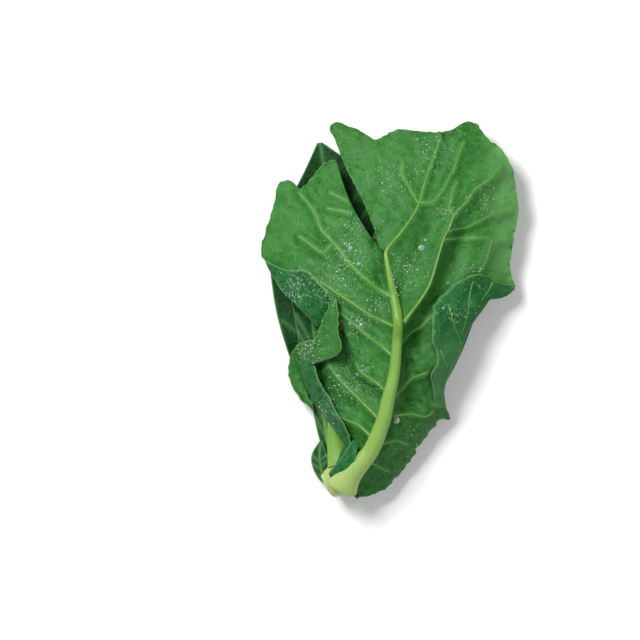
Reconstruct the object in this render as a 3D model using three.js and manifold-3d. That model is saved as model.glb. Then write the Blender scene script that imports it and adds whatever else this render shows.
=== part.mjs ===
// Spring cabbage: one loose head of spring greens, cut at the stem and laid down on its back leaf.
// Millimetres, +Z up. +Y runs from the cut stem to the leaf tips, and the origin is at the middle
// of the underside. Every leaf is one solid: blade, petiole and midrib grew together.
import * as THREE from 'three';
import { mergeVertices } from 'three/addons/utils/BufferGeometryUtils.js';
import Module from 'manifold-3d';

const wasm = await Module();
wasm.setup();

// Driving dimensions
const BLADE = 1.2;          // thickness of a leaf blade
const FOLD_GAP = 4;         // height between a blade and its own margin where it is folded over
const MARGIN_RISE = 2;      // how far a folded margin lifts off at its free edge
const CLEARANCE = 5;        // room left between the front leaf and the leaves under it
const FLOOR_CLEARANCE = 1;  // half a blade and a little, so that the lowest blades lie on the floor
const TUBE_SIDES = 8;
const MIDRIB_RISE = 0.45;     // share of its radius that a midrib's centre stands off the blade
const MIDRIB_FLATNESS = 0.85; // height of a midrib for each unit of its width

// ---------------------------------------------------------------- curves and closed meshes

// Catmull-Rom spline through the entries of a list, where t = 1.5 is halfway from entry 1 to entry 2.
// The entries are numbers, or points of any number of coordinates.
function spline(list, t) {
  const last = list.length - 1;
  const i = Math.min(Math.max(Math.floor(t), 0), last - 1);
  const f = t - i;
  const asPoint = (entry) => (Array.isArray(entry) ? entry : [entry]);
  const b = asPoint(list[i]);
  const c = asPoint(list[i + 1]);
  const before = i > 0 ? asPoint(list[i - 1]) : b.map((value, k) => 2 * value - c[k]);
  const after = i + 2 <= last ? asPoint(list[i + 2]) : c.map((value, k) => 2 * value - b[k]);
  const point = b.map((value, k) => {
    const leave = (c[k] - before[k]) / 2;
    const arrive = (after[k] - value) / 2;
    const rise = c[k] - value;
    return value + f * (leave + f * (3 * rise - 2 * leave - arrive + f * (leave + arrive - 2 * rise)));
  });
  return Array.isArray(list[0]) ? point : point[0];
}

// A value that a leaf gives at a few even places along its length, at the share u of that length
const along = (list, u) => spline(list, u * (list.length - 1));

// Closed geometry from points and triangles, with its faces turned outward
function closed(points, triangles) {
  const volume = triangles.reduce((sum, [a, b, c]) => {
    const cross = new THREE.Vector3().crossVectors(points[b], points[c]);
    return sum + points[a].dot(cross);
  }, 0);
  const outward = volume > 0 ? triangles : triangles.map(([a, b, c]) => [a, c, b]);
  const geometry = new THREE.BufferGeometry().setFromPoints(points);
  geometry.setIndex(outward.flat());
  return geometry;
}

// Sheet of even thickness on both sides of a grid of points
function sheet(rows, thickness) {
  const rowCount = rows.length;
  const columnCount = rows[0].length;
  const clampRow = (i) => rows[Math.min(Math.max(i, 0), rowCount - 1)];
  const upper = [];
  const lower = [];
  rows.forEach((row, i) => row.forEach((point, j) => {
    const alongRows = new THREE.Vector3().subVectors(clampRow(i + 1)[j], clampRow(i - 1)[j]);
    const next = row[Math.min(j + 1, columnCount - 1)];
    const previous = row[Math.max(j - 1, 0)];
    const acrossRow = new THREE.Vector3().subVectors(next, previous);
    const half = acrossRow.cross(alongRows).normalize().multiplyScalar(thickness / 2);
    upper.push(point.clone().add(half));
    lower.push(point.clone().sub(half));
  }));
  const offset = upper.length;
  const triangles = [];
  const quad = (a, b, c, d) => triangles.push([a, b, c], [a, c, d]);
  const at = (i, j) => i * columnCount + j;
  for (let i = 0; i + 1 < rowCount; i += 1) {
    for (let j = 0; j + 1 < columnCount; j += 1) {
      quad(at(i, j), at(i, j + 1), at(i + 1, j + 1), at(i + 1, j));
      quad(offset + at(i, j), offset + at(i + 1, j), offset + at(i + 1, j + 1), offset + at(i, j + 1));
    }
  }
  const rim = [];
  for (let j = 0; j + 1 < columnCount; j += 1) rim.push(at(0, j));
  for (let i = 0; i + 1 < rowCount; i += 1) rim.push(at(i, columnCount - 1));
  for (let j = columnCount - 1; j > 0; j -= 1) rim.push(at(rowCount - 1, j));
  for (let i = rowCount - 1; i > 0; i -= 1) rim.push(at(i, 0));
  rim.forEach((a, k) => {
    const b = rim[(k + 1) % rim.length];
    quad(b, a, offset + a, offset + b);
  });
  return closed([...upper, ...lower], triangles);
}

// Tapering rib of round section through path points, flattened by a share of its radius
function taperedRib(path, radii, flatness = 1) {
  const points = [];
  const triangles = [];
  path.forEach((centre, i) => {
    const ahead = path[Math.min(i + 1, path.length - 1)];
    const behind = path[Math.max(i - 1, 0)];
    const direction = new THREE.Vector3().subVectors(ahead, behind).normalize();
    const side = new THREE.Vector3(direction.y, -direction.x, 0).normalize();
    const up = new THREE.Vector3().crossVectors(side, direction).multiplyScalar(flatness);
    for (let k = 0; k < TUBE_SIDES; k += 1) {
      const angle = (k / TUBE_SIDES) * 2 * Math.PI;
      points.push(centre.clone()
        .addScaledVector(side, radii[i] * Math.cos(angle))
        .addScaledVector(up, radii[i] * Math.sin(angle)));
    }
  });
  for (let i = 0; i + 1 < path.length; i += 1) {
    for (let k = 0; k < TUBE_SIDES; k += 1) {
      const next = (k + 1) % TUBE_SIDES;
      const a = i * TUBE_SIDES;
      const b = a + TUBE_SIDES;
      triangles.push([a + k, a + next, b + next], [a + k, b + next, b + k]);
    }
  }
  const end = (path.length - 1) * TUBE_SIDES;
  for (let k = 1; k + 1 < TUBE_SIDES; k += 1) {
    triangles.push([0, k + 1, k], [end, end + k, end + k + 1]);
  }
  return closed(points, triangles);
}

// Solid for joining and cutting, from closed geometry
const WELD = 1e-4;

function asSolid(geometry) {
  const merged = mergeVertices(geometry, WELD);
  return new wasm.Manifold(new wasm.Mesh({
    numProp: 3,
    vertProperties: new Float32Array(merged.attributes.position.array),
    triVerts: new Uint32Array(merged.index.array),
  }));
}

function asGeometry(solid) {
  const mesh = solid.getMesh();
  const geometry = new THREE.BufferGeometry();
  geometry.setAttribute('position', new THREE.BufferAttribute(mesh.vertProperties, 3));
  geometry.setIndex(new THREE.BufferAttribute(mesh.triVerts, 1));
  return geometry;
}

// Joins closed geometries that grew together into one
function grownTogether(geometries) {
  return asGeometry(geometries.map(asSolid).reduce((whole, solid) => whole.add(solid)));
}

// ---------------------------------------------------------------- the shape of the whole head

// The front leaf is the roof of the head. Its ridge is the midrib, and it falls away to both margins.
// Each row gives a value at even steps of Y, from the stem to the leaf tips.
const ROOF_START = -140;
const ROOF_STEP = 40;
const RIDGE_X = [-36, -15, -2, 6, 2, 9, 27, 41];
const RIDGE_Z = [29, 46, 53, 57, 56, 50, 38, 27];
const REACH = [26, 42, 58, 74, 92, 96, 94, 92];
const MARGIN_Z = [21, 19, 18, 18, 18, 20, 22, 22];
const ROOF_POWER = 1.6;

// Raised and sunken lines of the roof: the points they run through, their height and half width
const CREASES = [
  { line: [[9, -9], [29, 20], [40, 53], [47, 71], [64, 90], [83, 107]], height: 4, width: 9 },
  { line: [[17, -21], [26, -4], [38, 14], [47, 36], [55, 56]], height: -8, width: 8 },
  { line: [[15, -68], [15, -41], [17, -22]], height: -9, width: 9 },
  { line: [[11, 11], [21, 36], [32, 64]], height: -4, width: 9 },
  { line: [[-8, -50], [-6, -26], [-5, 0], [-8, 25]], height: -3, width: 7 },
];

function distanceToLine(x, y, line) {
  let nearest = Infinity;
  for (let k = 0; k + 1 < line.length; k += 1) {
    const [ax, ay] = line[k];
    const [bx, by] = line[k + 1];
    const [dx, dy] = [bx - ax, by - ay];
    const share = THREE.MathUtils.clamp(((x - ax) * dx + (y - ay) * dy) / (dx * dx + dy * dy), 0, 1);
    nearest = Math.min(nearest, Math.hypot(x - ax - share * dx, y - ay - share * dy));
  }
  return nearest;
}

function roof(x, y) {
  const t = (y - ROOF_START) / ROOF_STEP;
  const ridge = spline(RIDGE_Z, t);
  const outward = Math.abs(x - spline(RIDGE_X, t)) / spline(REACH, t);
  const fall = (ridge - spline(MARGIN_Z, t)) * outward ** ROOF_POWER;
  const relief = CREASES.reduce((sum, crease) => {
    const share = distanceToLine(x, y, crease.line) / crease.width;
    return sum + crease.height * Math.exp(-share * share);
  }, 0);
  return ridge - fall + relief;
}

// ---------------------------------------------------------------- front leaf

// A blade is lofted over ribs. Its rails run from the stem end to the tip end, and a rib crosses them
// from the midrib to the outer edge, where it turns over towards the free margin.
// Rails and margin are lists of [x, y]; lifts say how far each rail stands above the roof, once for
// the whole rail or rib by rib.
const RIB_STEPS = 5;
const RETURN_STEPS = 2;
const TURN_PER_SPAN = 0.6;  // height of the turn where the margin lies too near for the whole fold gap

function blade({ rails, lifts, margin, marginLift = MARGIN_RISE }) {
  const rows = rails[0].map((_, i) => {
    const posts = rails.map((rail, r) => [...rail[i], Array.isArray(lifts[r]) ? lifts[r][i] : lifts[r]]);
    const [edgeX, edgeY, edgeLift] = posts.at(-1);
    const [beforeX, beforeY] = along(posts, 1 - 1 / RIB_STEPS);
    const back = new THREE.Vector2(margin[i][0] - edgeX, margin[i][1] - edgeY);
    const turn = Math.min(FOLD_GAP, TURN_PER_SPAN * back.length());
    const inward = new THREE.Vector2(beforeX - edgeX, beforeY - edgeY).setLength(turn / 2);
    const rib = [];
    for (let k = 0; k < RIB_STEPS; k += 1) rib.push(along(posts, k / RIB_STEPS));
    rib.push([edgeX + inward.x, edgeY + inward.y, edgeLift]);
    rib.push([edgeX, edgeY, edgeLift + turn / 2]);
    for (let k = 1; k <= RETURN_STEPS; k += 1) {
      const share = k / RETURN_STEPS;
      const rise = turn + marginLift * (turn / FOLD_GAP) * share;
      rib.push([edgeX + back.x * share, edgeY + back.y * share, edgeLift + rise]);
    }
    return rib.map(([x, y, lift]) => new THREE.Vector3(x, y, roof(x, y) + lift));
  });
  return sheet(rows, BLADE);
}

// Midrib of the front leaf: [x, y] and the radius there. It stands proud of the blade.
const MIDRIB = [
  [-38, -134, 9.2], [-32, -129, 9.2], [-25, -121, 7.6], [-19, -113, 6.6], [-14, -106, 6.1],
  [-9, -94, 5.8], [-4, -80, 5.4], [-1, -66, 5], [3, -49, 4.5], [5, -30, 4], [6, -8, 3.7],
  [4, 6, 3.4], [1, 21, 2.7], [-2, 37, 2.1], [-3, 44, 1.9], [1, 50, 1.6], [8, 57, 1.5], [16, 68, 1.4],
  [22, 79, 1.3], [26, 93, 1.1], [31, 108, 0.9],
];

// Right side of the blade, from the foot of the petiole round to the middle of the tip
const RIGHT_MIDRIB = [
  [-32, -134], [-28, -126], [-20, -113], [-13, -98], [-8, -84], [-5, -77], [-4, -73], [-2, -68],
  [-1, -62], [2, -49], [4, -36], [6, -24], [6, -14], [6, -4], [5, 3], [4, 9], [4, 15], [3, 20],
  [2, 26], [1, 32], [-2, 40], [1, 48], [7, 55], [13, 64], [18, 74], [22, 82], [26, 92], [30, 101],
  [33, 111], [35, 120], [37, 127], [37, 131],
];
const RIGHT_EDGE = [
  [-24, -142], [-4, -136], [10, -122], [21, -106], [32, -91], [39, -82], [47, -82], [42, -67],
  [42, -57], [47, -44], [52, -35], [56, -24], [60, -14], [67, -4], [73, 4], [76, 8], [83, 9],
  [89, 11], [94, 15], [96, 18], [92, 30], [93, 46], [96, 62], [98, 75], [96, 90], [93, 106],
  [85, 121], [74, 130], [67, 140], [58, 142], [48, 136], [38, 134],
];
const RIGHT_MARGIN = [
  [-24, -140], [-5, -134], [8, -121], [19, -104], [31, -89], [38, -81], [45, -78], [35, -69],
  [33, -60], [31, -48], [36, -38], [32, -22], [32, -9], [33, 3], [40, 12], [50, 20], [61, 26],
  [72, 26], [83, 20], [94, 20], [91, 30], [92, 46], [94, 62], [95, 75], [94, 90], [91, 106],
  [83, 119], [73, 129], [66, 137], [58, 140], [48, 134], [38, 133],
];

// Upper lobe left of the midrib, which a split parts from the left side
const LOBE_MIDRIB = [
  [-4, 44], [-1, 47], [4, 52], [9, 58], [14, 67], [18, 74], [21, 79], [23, 84], [25, 88], [26, 93],
  [28, 98], [29, 102], [31, 106], [32, 111], [34, 116], [36, 121], [38, 126], [40, 130],
];
const LOBE_EDGE = [
  [-7, 46], [-10, 56], [-15, 70], [-20, 82], [-26, 94], [-32, 106], [-37, 118], [-41, 129],
  [-45, 137], [-40, 142], [-32, 139], [-24, 136], [-14, 128], [-4, 131], [6, 136], [19, 135],
  [29, 134], [40, 134],
];

// Left side of the blade, from the split down to the pleat, with its margin folded over on top
const LEFT_MIDRIB = [
  [-7, 44], [-4, 33], [-2, 22], [-1, 15], [0, 9], [0, 4], [1, -2], [1, -7], [1, -12], [1, -17],
  [0, -22], [0, -28], [-1, -34], [-2, -40], [-2, -46], [-3, -52], [-4, -59],
];
const LEFT_INNER = [
  [-18, 61], [-25, 61], [-29, 52], [-33, 48], [-35, 45], [-38, 40], [-40, 36], [-42, 32], [-43, 27],
  [-42, 22], [-40, 16], [-37, 9], [-33, 1], [-29, -9], [-26, -20], [-24, -35], [-22, -51],
];
const LEFT_OUTER = [
  [-30, 83], [-38, 85], [-47, 76], [-53, 72], [-59, 71], [-67, 68], [-70, 62], [-71, 54], [-73, 46],
  [-70, 39], [-64, 32], [-58, 22], [-52, 13], [-48, 5], [-44, 2], [-36, -11], [-28, -28],
];
const LEFT_EDGE = [
  [-40, 114], [-50, 110], [-59, 99], [-67, 92], [-74, 98], [-83, 96], [-87, 80], [-92, 63],
  [-97, 46], [-93, 35], [-87, 25], [-80, 14], [-70, 4], [-62, -4], [-53, -12], [-47, -6], [-40, 3],
];
const LEFT_MARGIN = [
  [-38, 112], [-48, 108], [-58, 97], [-66, 91], [-74, 96], [-81, 94], [-85, 79], [-90, 62],
  [-95, 46], [-92, 40], [-84, 33], [-74, 30], [-62, 30], [-53, 22], [-46, 14], [-44, 13], [-41, 9],
];

// Lower left wing, from under the pleat down to the foot: it dips, rises and turns over as a dark band
const WING_MIDRIB = [
  [-2, -38], [-4, -51], [-6, -62], [-8, -71], [-11, -81], [-14, -90], [-18, -98], [-22, -106],
  [-26, -112], [-29, -118], [-33, -123],
];
const WING_MIDDLE = [
  [-20, -24], [-26, -44], [-26, -56], [-26, -66], [-26, -76], [-25, -87], [-25, -96], [-26, -104],
  [-28, -111], [-31, -117], [-35, -122],
];
const WING_BROW = [
  [-39, -15], [-47, -36], [-46, -49], [-44, -60], [-40, -73], [-36, -82], [-32, -91], [-29, -100],
  [-31, -109], [-34, -115], [-38, -121],
];
const WING_DIP = [
  [-44, -24], [-51, -40], [-51, -52], [-49, -62], [-45, -74], [-41, -82], [-36, -90], [-32, -99],
  [-33, -108], [-36, -115], [-40, -121],
];
const WING_DIP_LIFT = [-9, -10, -10, -8, -6, -4, -3, -2, -1, -1, 0];
const BAND_EDGE = [
  [-68, -39], [-67, -48], [-64, -57], [-58, -66], [-52, -74], [-46, -83], [-40, -91], [-34, -98],
  [-36, -106], [-39, -114], [-44, -121],
];
const BAND_MARGIN = [
  [-56, -42], [-53, -51], [-49, -59], [-44, -66], [-40, -75], [-34, -85], [-30, -94], [-28, -104],
  [-28, -112], [-32, -119], [-39, -124],
];

// Ruffle of the left margin between the fold and the band: its outer and its inner side
const RUFFLE_OUTER = [
  [-42, 11], [-46, 1], [-51, -10], [-55, -21], [-62, -23], [-70, -27], [-74, -35], [-76, -47],
  [-72, -59], [-66, -68], [-58, -74],
];
const RUFFLE_INNER = [
  [-40, 9], [-38, -4], [-38, -16], [-36, -30], [-44, -36], [-55, -40], [-64, -44], [-64, -52],
  [-62, -62], [-58, -70], [-56, -75],
];
const RUFFLE_LIFT = [8, 9, 9, 9, 8, 6, 5, 4, 3, 2, 0];
const RUFFLE_INNER_LIFT = [8, 10, 11, 10, 7, 2, -4, -7, -8, -7, -5];

const RUFFLE_SAG = 1;

// Scrap of blade that lies over the foot of the petiole
const FOOT_OUTER = [[-27, -97], [-32, -105], [-37, -112], [-42, -118], [-46, -123]];
const FOOT_INNER = [[-24, -101], [-25, -109], [-28, -117], [-35, -122], [-43, -126]];
const FOOT_LIFT = [2, 4, 5, 5, 4];
const FOOT_INNER_LIFT = [3, 7, 8, 8, 5];
const FOOT_SAG = -1;

// Narrow strip between two sides, each with its own lift above the roof; its middle sags
function strip(outer, outerLift, inner, innerLift, sag) {
  const rows = outer.map(([x, y], i) => {
    const [innerX, innerY] = inner[i];
    const middleX = (x + innerX) / 2;
    const middleY = (y + innerY) / 2;
    const middleLift = (outerLift[i] + innerLift[i]) / 2 - sag;
    return [
      new THREE.Vector3(x, y, roof(x, y) + outerLift[i]),
      new THREE.Vector3(middleX, middleY, roof(middleX, middleY) + middleLift),
      new THREE.Vector3(innerX, innerY, roof(innerX, innerY) + innerLift[i]),
    ];
  });
  return sheet(rows, BLADE);
}

const LOBE_HEM = 0.04;  // share of its breadth that the margin of the upper lobe is turned in
const LOBE_HEM_DROP = 1.5;

function frontLeaf() {
  const path = MIDRIB.map(([x, y, radius]) => {
    const crown = roof(x, y) + MIDRIB_RISE * radius;
    return new THREE.Vector3(x, y, crown);
  });
  const radii = MIDRIB.map(([, , radius]) => radius);
  return grownTogether([
    blade({ rails: [RIGHT_MIDRIB, RIGHT_EDGE], lifts: [0, 0], margin: RIGHT_MARGIN }),
    blade({
      rails: [LOBE_MIDRIB, LOBE_EDGE],
      lifts: [0, 2],
      margin: LOBE_EDGE.map(([x, y], i) => [x + LOBE_HEM * (LOBE_MIDRIB[i][0] - x), y - LOBE_HEM_DROP]),
    }),
    blade({
      rails: [LEFT_MIDRIB, LEFT_INNER, LEFT_OUTER, LEFT_EDGE],
      lifts: [0, 1.5, 2, 0],
      margin: LEFT_MARGIN,
    }),
    blade({
      rails: [WING_MIDRIB, WING_MIDDLE, WING_BROW, WING_DIP, BAND_EDGE],
      lifts: [0, -2, -3, WING_DIP_LIFT, 0],
      margin: BAND_MARGIN,
    }),
    strip(RUFFLE_OUTER, RUFFLE_LIFT, RUFFLE_INNER, RUFFLE_INNER_LIFT, RUFFLE_SAG),
    strip(FOOT_OUTER, FOOT_LIFT, FOOT_INNER, FOOT_INNER_LIFT, FOOT_SAG),
    taperedRib(path, radii, MIDRIB_FLATNESS),
  ]);
}

// ---------------------------------------------------------------- leaves under the front leaf

// A plain leaf is drawn in plan by its spine and by its half widths to the left and right of it.
// Its height is a share of the room under the front leaf, so leaves of different shares never meet.
const LEAF_ROWS = 14;
const LEAF_HALF_COLUMNS = 3;
const BARE_ROWS = 2;          // rows at the tip that the midrib does not reach
const MIDRIB_TIP = 0.8;       // radius of a midrib at its end
const MIDRIB_TAPER = 0.7;     // below 1 a midrib loses most of its width near its foot
const LEAST_ROOM = 4;         // room under the front leaf where the roof comes down to the floor
const WAVES_START = 0.2;      // shares of the length over which the margin begins to wave
const WAVES_FULL = 0.5;
const SIDE_LAG = 2;           // the waves of the right margin run ahead by this angle
const SPINE_STEP = 0.02;      // share of the length over which the direction of a spine is taken

function underLeaf({ spine, left, right, share, rib, ribSide, waves = 5, waveHeight = 1.5, cup = 0 }) {
  const level = (x, y, u) => FLOOR_CLEARANCE
    + along(share, u) * Math.max(roof(x, y) - CLEARANCE - FLOOR_CLEARANCE, LEAST_ROOM);
  const rows = [];
  for (let i = 0; i <= LEAF_ROWS; i += 1) {
    const u = i / LEAF_ROWS;
    const [x, y] = along(spine, u);
    const [aheadX, aheadY] = along(spine, Math.min(u + SPINE_STEP, 1));
    const [behindX, behindY] = along(spine, Math.max(u - SPINE_STEP, 0));
    const ahead = new THREE.Vector2(aheadX - behindX, aheadY - behindY).normalize();
    const row = [];
    for (let j = -LEAF_HALF_COLUMNS; j <= LEAF_HALF_COLUMNS; j += 1) {
      const v = j / LEAF_HALF_COLUMNS;
      const reach = (v < 0 ? along(left, u) : along(right, u)) * v;
      const px = x + ahead.y * reach;
      const py = y - ahead.x * reach;
      const wave = waveHeight * Math.sin(2 * Math.PI * waves * u + (v < 0 ? 0 : SIDE_LAG));
      const curl = v * v * THREE.MathUtils.smoothstep(u, WAVES_START, WAVES_FULL) * (1 - u ** 4);
      const rise = (cup + wave) * curl;
      const height = level(px, py, u) + rise;
      row.push(new THREE.Vector3(px, py, Math.max(height, FLOOR_CLEARANCE)));
    }
    rows.push(row);
  }
  const path = [];
  const radii = [];
  for (let i = 0; i <= LEAF_ROWS - BARE_ROWS; i += 1) {
    const u = i / LEAF_ROWS;
    const [x, y] = along(spine, u);
    const radius = THREE.MathUtils.lerp(rib, MIDRIB_TIP, u ** MIDRIB_TAPER);
    const centre = level(x, y, u) + ribSide * MIDRIB_RISE * radius;
    path.push(new THREE.Vector3(x, y, Math.max(centre, radius)));
    radii.push(radius);
  }
  return grownTogether([sheet(rows, BLADE), taperedRib(path, radii, MIDRIB_FLATNESS)]);
}

// ribSide is -1 on leaves whose underside faces the floor, and 1 where it faces up
const UNDER_LEAVES = {
  back_leaf: {
    colour: '#1f5f35',
    spine: [[-36, -122], [-33, -96], [-34, -60], [-36, -20], [-40, 20], [-43, 60], [-47, 98], [-52, 127]],
    left: [4, 13, 31, 43, 48, 46, 22, 2],
    right: [4, 10, 20, 28, 36, 42, 28, 2],
    share: [0.27, 0.07, 0.02, 0.02, 0.03, 0.06, 0.16, 0.24],
    rib: 4.2,
    ribSide: -1,
    waves: 5,
    cup: 4,
  },
  right_leaf: {
    colour: '#2a6f38',
    spine: [[-27, -121], [-6, -92], [10, -60], [22, -24], [32, 14], [40, 50], [46, 84], [50, 112]],
    left: [4, 8, 14, 22, 30, 34, 28, 3],
    right: [4, 15, 26, 34, 38, 40, 30, 3],
    share: [0.34, 0.08, 0.03, 0.03, 0.04, 0.05, 0.08, 0.14],
    rib: 4,
    ribSide: -1,
    waves: 5,
    cup: 6,
  },
  left_leaf: {
    colour: '#24663a',
    spine: [[-41, -116], [-46, -94], [-50, -66], [-54, -34], [-58, 0], [-60, 32], [-62, 62], [-64, 84]],
    left: [3, 4, 7, 12, 14, 18, 14, 2],
    right: [3, 8, 20, 26, 30, 30, 24, 2],
    share: [0.42, 0.33, 0.34, 0.36, 0.36, 0.36, 0.36, 0.34],
    rib: 3.2,
    ribSide: -1,
    cup: 2,
  },
  heart_leaf_outer: {
    colour: '#4b9444',
    spine: [[-16, -98], [-8, -78], [-2, -52], [4, -20], [8, 12], [12, 42], [16, 66], [18, 84]],
    left: [3, 7, 14, 22, 28, 28, 20, 2],
    right: [3, 8, 20, 30, 36, 36, 24, 2],
    share: [0.45, 0.44, 0.42, 0.42, 0.44, 0.46, 0.5, 0.54],
    rib: 3.4,
    ribSide: -1,
    cup: 3,
  },
  heart_leaf_inner: {
    colour: '#69a94a',
    spine: [[-22, -100], [-14, -78], [-10, -54], [-8, -26], [-8, 2], [-8, 26], [-9, 42], [-9, 50]],
    left: [3, 6, 12, 18, 22, 22, 16, 2],
    right: [3, 6, 12, 18, 22, 22, 16, 2],
    share: [0.62, 0.62, 0.61, 0.61, 0.62, 0.63, 0.64, 0.65],
    rib: 2.8,
    ribSide: 1,
  },
  inner_leaf: {
    colour: '#5aa046',
    spine: [[-36, -116], [-39.5, -101], [-41, -80], [-34, -52], [-24, -22], [-12, 12], [0, 42], [6, 66]],
    left: [4, 4.5, 5, 8, 14, 20, 20, 2],
    right: [4, 4.5, 8, 16, 24, 28, 24, 2],
    share: [0.7, 0.72, 0.76, 0.78, 0.8, 0.8, 0.8, 0.8],
    rib: 5.5,
    ribSide: 1,
    waveHeight: 1,
  },
  base_leaf: {
    colour: '#215f33',
    spine: [[-45, -131], [-49, -126], [-51, -119], [-52, -110], [-51, -99]],
    left: [2, 4, 6, 6, 1],
    right: [3, 6, 7, 6, 1],
    share: [0.4, 0.56, 0.6, 0.6, 0.56],
    rib: 1.6,
    ribSide: -1,
    waves: 1,
    waveHeight: 0.5,
  },
};

// ---------------------------------------------------------------- stem

// The cut stump: thick at the cut, narrowing to the growing tip between the petioles
const STEM = [
  [-46, -133, 18, 8.2], [-44.5, -132, 18.3, 10.2], [-40, -128, 19.3, 11.2], [-32, -117, 20, 9.6], [-25, -106, 19, 7],
  [-18, -98, 20, 5],
];

// Each petiole sits in a hollow of the stem where it leaves it
function stem(leaves) {
  const path = STEM.map(([x, y, z]) => new THREE.Vector3(x, y, z));
  const whole = asSolid(taperedRib(path, STEM.map(([, , , radius]) => radius)));
  const hollowed = leaves.reduce((rest, leaf) => rest.subtract(asSolid(leaf)), whole);
  const pieces = hollowed.decompose();
  return asGeometry(pieces.reduce((best, piece) => (piece.volume() > best.volume() ? piece : best)));
}

// ---------------------------------------------------------------- the head

const head = new THREE.Group();

function addPiece(name, geometry, colour) {
  const material = new THREE.MeshStandardMaterial({ color: colour, roughness: 0.5, metalness: 0 });
  const mesh = new THREE.Mesh(geometry, material);
  mesh.name = name;
  head.add(mesh);
}

const leaves = { front_leaf: { colour: '#3d8a41', geometry: frontLeaf() } };
Object.entries(UNDER_LEAVES).forEach(([name, { colour, ...shape }]) => {
  leaves[name] = { colour, geometry: underLeaf(shape) };
});
addPiece('stem', stem(Object.values(leaves).map(({ geometry }) => geometry)), '#dfe3a4');
Object.entries(leaves).forEach(([name, { geometry, colour }]) => addPiece(name, geometry, colour));

const box = new THREE.Box3().setFromObject(head);
const middle = box.getCenter(new THREE.Vector3());
head.position.set(-middle.x, -middle.y, -box.min.z);

export default head;
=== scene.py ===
# %% [markdown]
# # A head of spring cabbage
#
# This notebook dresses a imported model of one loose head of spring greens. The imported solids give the
# size, the place and the weight of every leaf. Here each leaf gets its real surface: thin blades with
# raised ribs, sunken fields between the ribs, curled margins, a waxy bloom and drops of water.
# The frame is loaded first, and everything after it is measured from that frame.

# %% Load the frame
import math
import bpy
import numpy as np
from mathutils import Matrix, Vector
from mathutils.bvhtree import BVHTree


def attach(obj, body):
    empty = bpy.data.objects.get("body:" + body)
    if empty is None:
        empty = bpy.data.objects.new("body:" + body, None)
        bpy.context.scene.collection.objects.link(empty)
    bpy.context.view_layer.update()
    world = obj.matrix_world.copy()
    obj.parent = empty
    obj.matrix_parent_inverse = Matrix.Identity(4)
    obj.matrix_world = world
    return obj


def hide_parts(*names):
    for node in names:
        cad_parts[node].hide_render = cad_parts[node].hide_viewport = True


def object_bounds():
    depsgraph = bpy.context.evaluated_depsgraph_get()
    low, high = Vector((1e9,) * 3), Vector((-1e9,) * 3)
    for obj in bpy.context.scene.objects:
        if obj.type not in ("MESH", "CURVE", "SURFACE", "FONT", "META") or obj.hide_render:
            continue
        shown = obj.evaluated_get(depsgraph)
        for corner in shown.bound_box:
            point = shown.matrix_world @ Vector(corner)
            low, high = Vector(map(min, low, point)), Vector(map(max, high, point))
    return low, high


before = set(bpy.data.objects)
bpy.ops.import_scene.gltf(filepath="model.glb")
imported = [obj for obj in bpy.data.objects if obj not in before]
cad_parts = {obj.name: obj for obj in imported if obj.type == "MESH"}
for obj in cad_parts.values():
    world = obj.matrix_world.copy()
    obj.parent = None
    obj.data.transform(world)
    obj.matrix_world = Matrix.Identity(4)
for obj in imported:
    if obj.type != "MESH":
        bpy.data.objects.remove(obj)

cad_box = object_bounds()
low, high = cad_box
middle = (low + high) / 2
head_width, head_length, head_height = high - low
print("head", [round(side * 1000, 1) for side in high - low], "mm")

# %% [markdown]
# ## Camera
#
# The head lies on a table and is seen from straight above, so the camera looks down. A long lens from
# far away keeps the outline of the leaves true. The head sits right of the middle of the view, so the
# camera is moved sideways instead of being shifted or turned.

# %% Camera
VIEW_SIDE = 1.684 * head_length
CAMERA_HEIGHT = 9 * head_length
camera_data = bpy.data.cameras.new("camera")
camera_data.sensor_width = 36
camera_data.lens = camera_data.sensor_width * (CAMERA_HEIGHT - head_height / 2) / VIEW_SIDE
camera = bpy.data.objects.new("camera", camera_data)
camera.location = (middle.x - 0.264 * head_width, middle.y - 0.026 * head_length, CAMERA_HEIGHT)
bpy.context.collection.objects.link(camera)
bpy.context.scene.camera = camera
print("lens", round(camera_data.lens), "mm")

# %% [markdown]
# ## Curves
#
# Leaves have no straight lines, so every outline is a short list of given points with a Catmull-Rom
# spline through them. It passes through each point, which makes the points easy to place.
# The drawing is in millimetres around the middle of the head, and it is turned into metres at the end.

# %% Splines
MM = head_length / 285.1          # one drawing millimetre, from the length of the drawn head


def spline(points, t):
    """Points of a Catmull-Rom spline, where t = 1.5 is halfway from entry 1 to entry 2."""
    points = np.asarray(points, float)
    if points.ndim == 1:
        return spline(points[:, None], t)[..., 0]
    t = np.atleast_1d(np.asarray(t, float))
    padded = np.concatenate([2 * points[:1] - points[1:2], points, 2 * points[-1:] - points[-2:-1]])
    i = np.clip(np.floor(t).astype(int), 0, len(points) - 2)
    f = (t - i).reshape(-1, *([1] * (points.ndim - 1)))
    a, b, c, d = (padded[i + k] for k in range(4))
    leave, arrive, rise = (c - a) / 2, (d - b) / 2, c - b
    return b + f * (leave + f * (3 * rise - 2 * leave - arrive + f * (leave + arrive - 2 * rise)))


def along(points, u):
    """The spline at a share u of its length, counted in entries."""
    return spline(points, np.asarray(u, float) * (len(points) - 1))


def evenly(points, step):
    """Points of the spline spaced by a distance, in drawing millimetres."""
    fine = along(points, np.linspace(0, 1, 40 * len(points)))
    reach = np.concatenate([[0], np.cumsum(np.linalg.norm(np.diff(fine[:, :2], axis=0), axis=1))])
    marks = np.linspace(0, reach[-1], max(int(reach[-1] / step), 2))
    return np.column_stack([np.interp(marks, reach, column) for column in fine.T])


def smoothstep(x, start, end):
    share = np.clip((x - start) / (end - start), 0, 1)
    return share * share * (3 - 2 * share)


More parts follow.
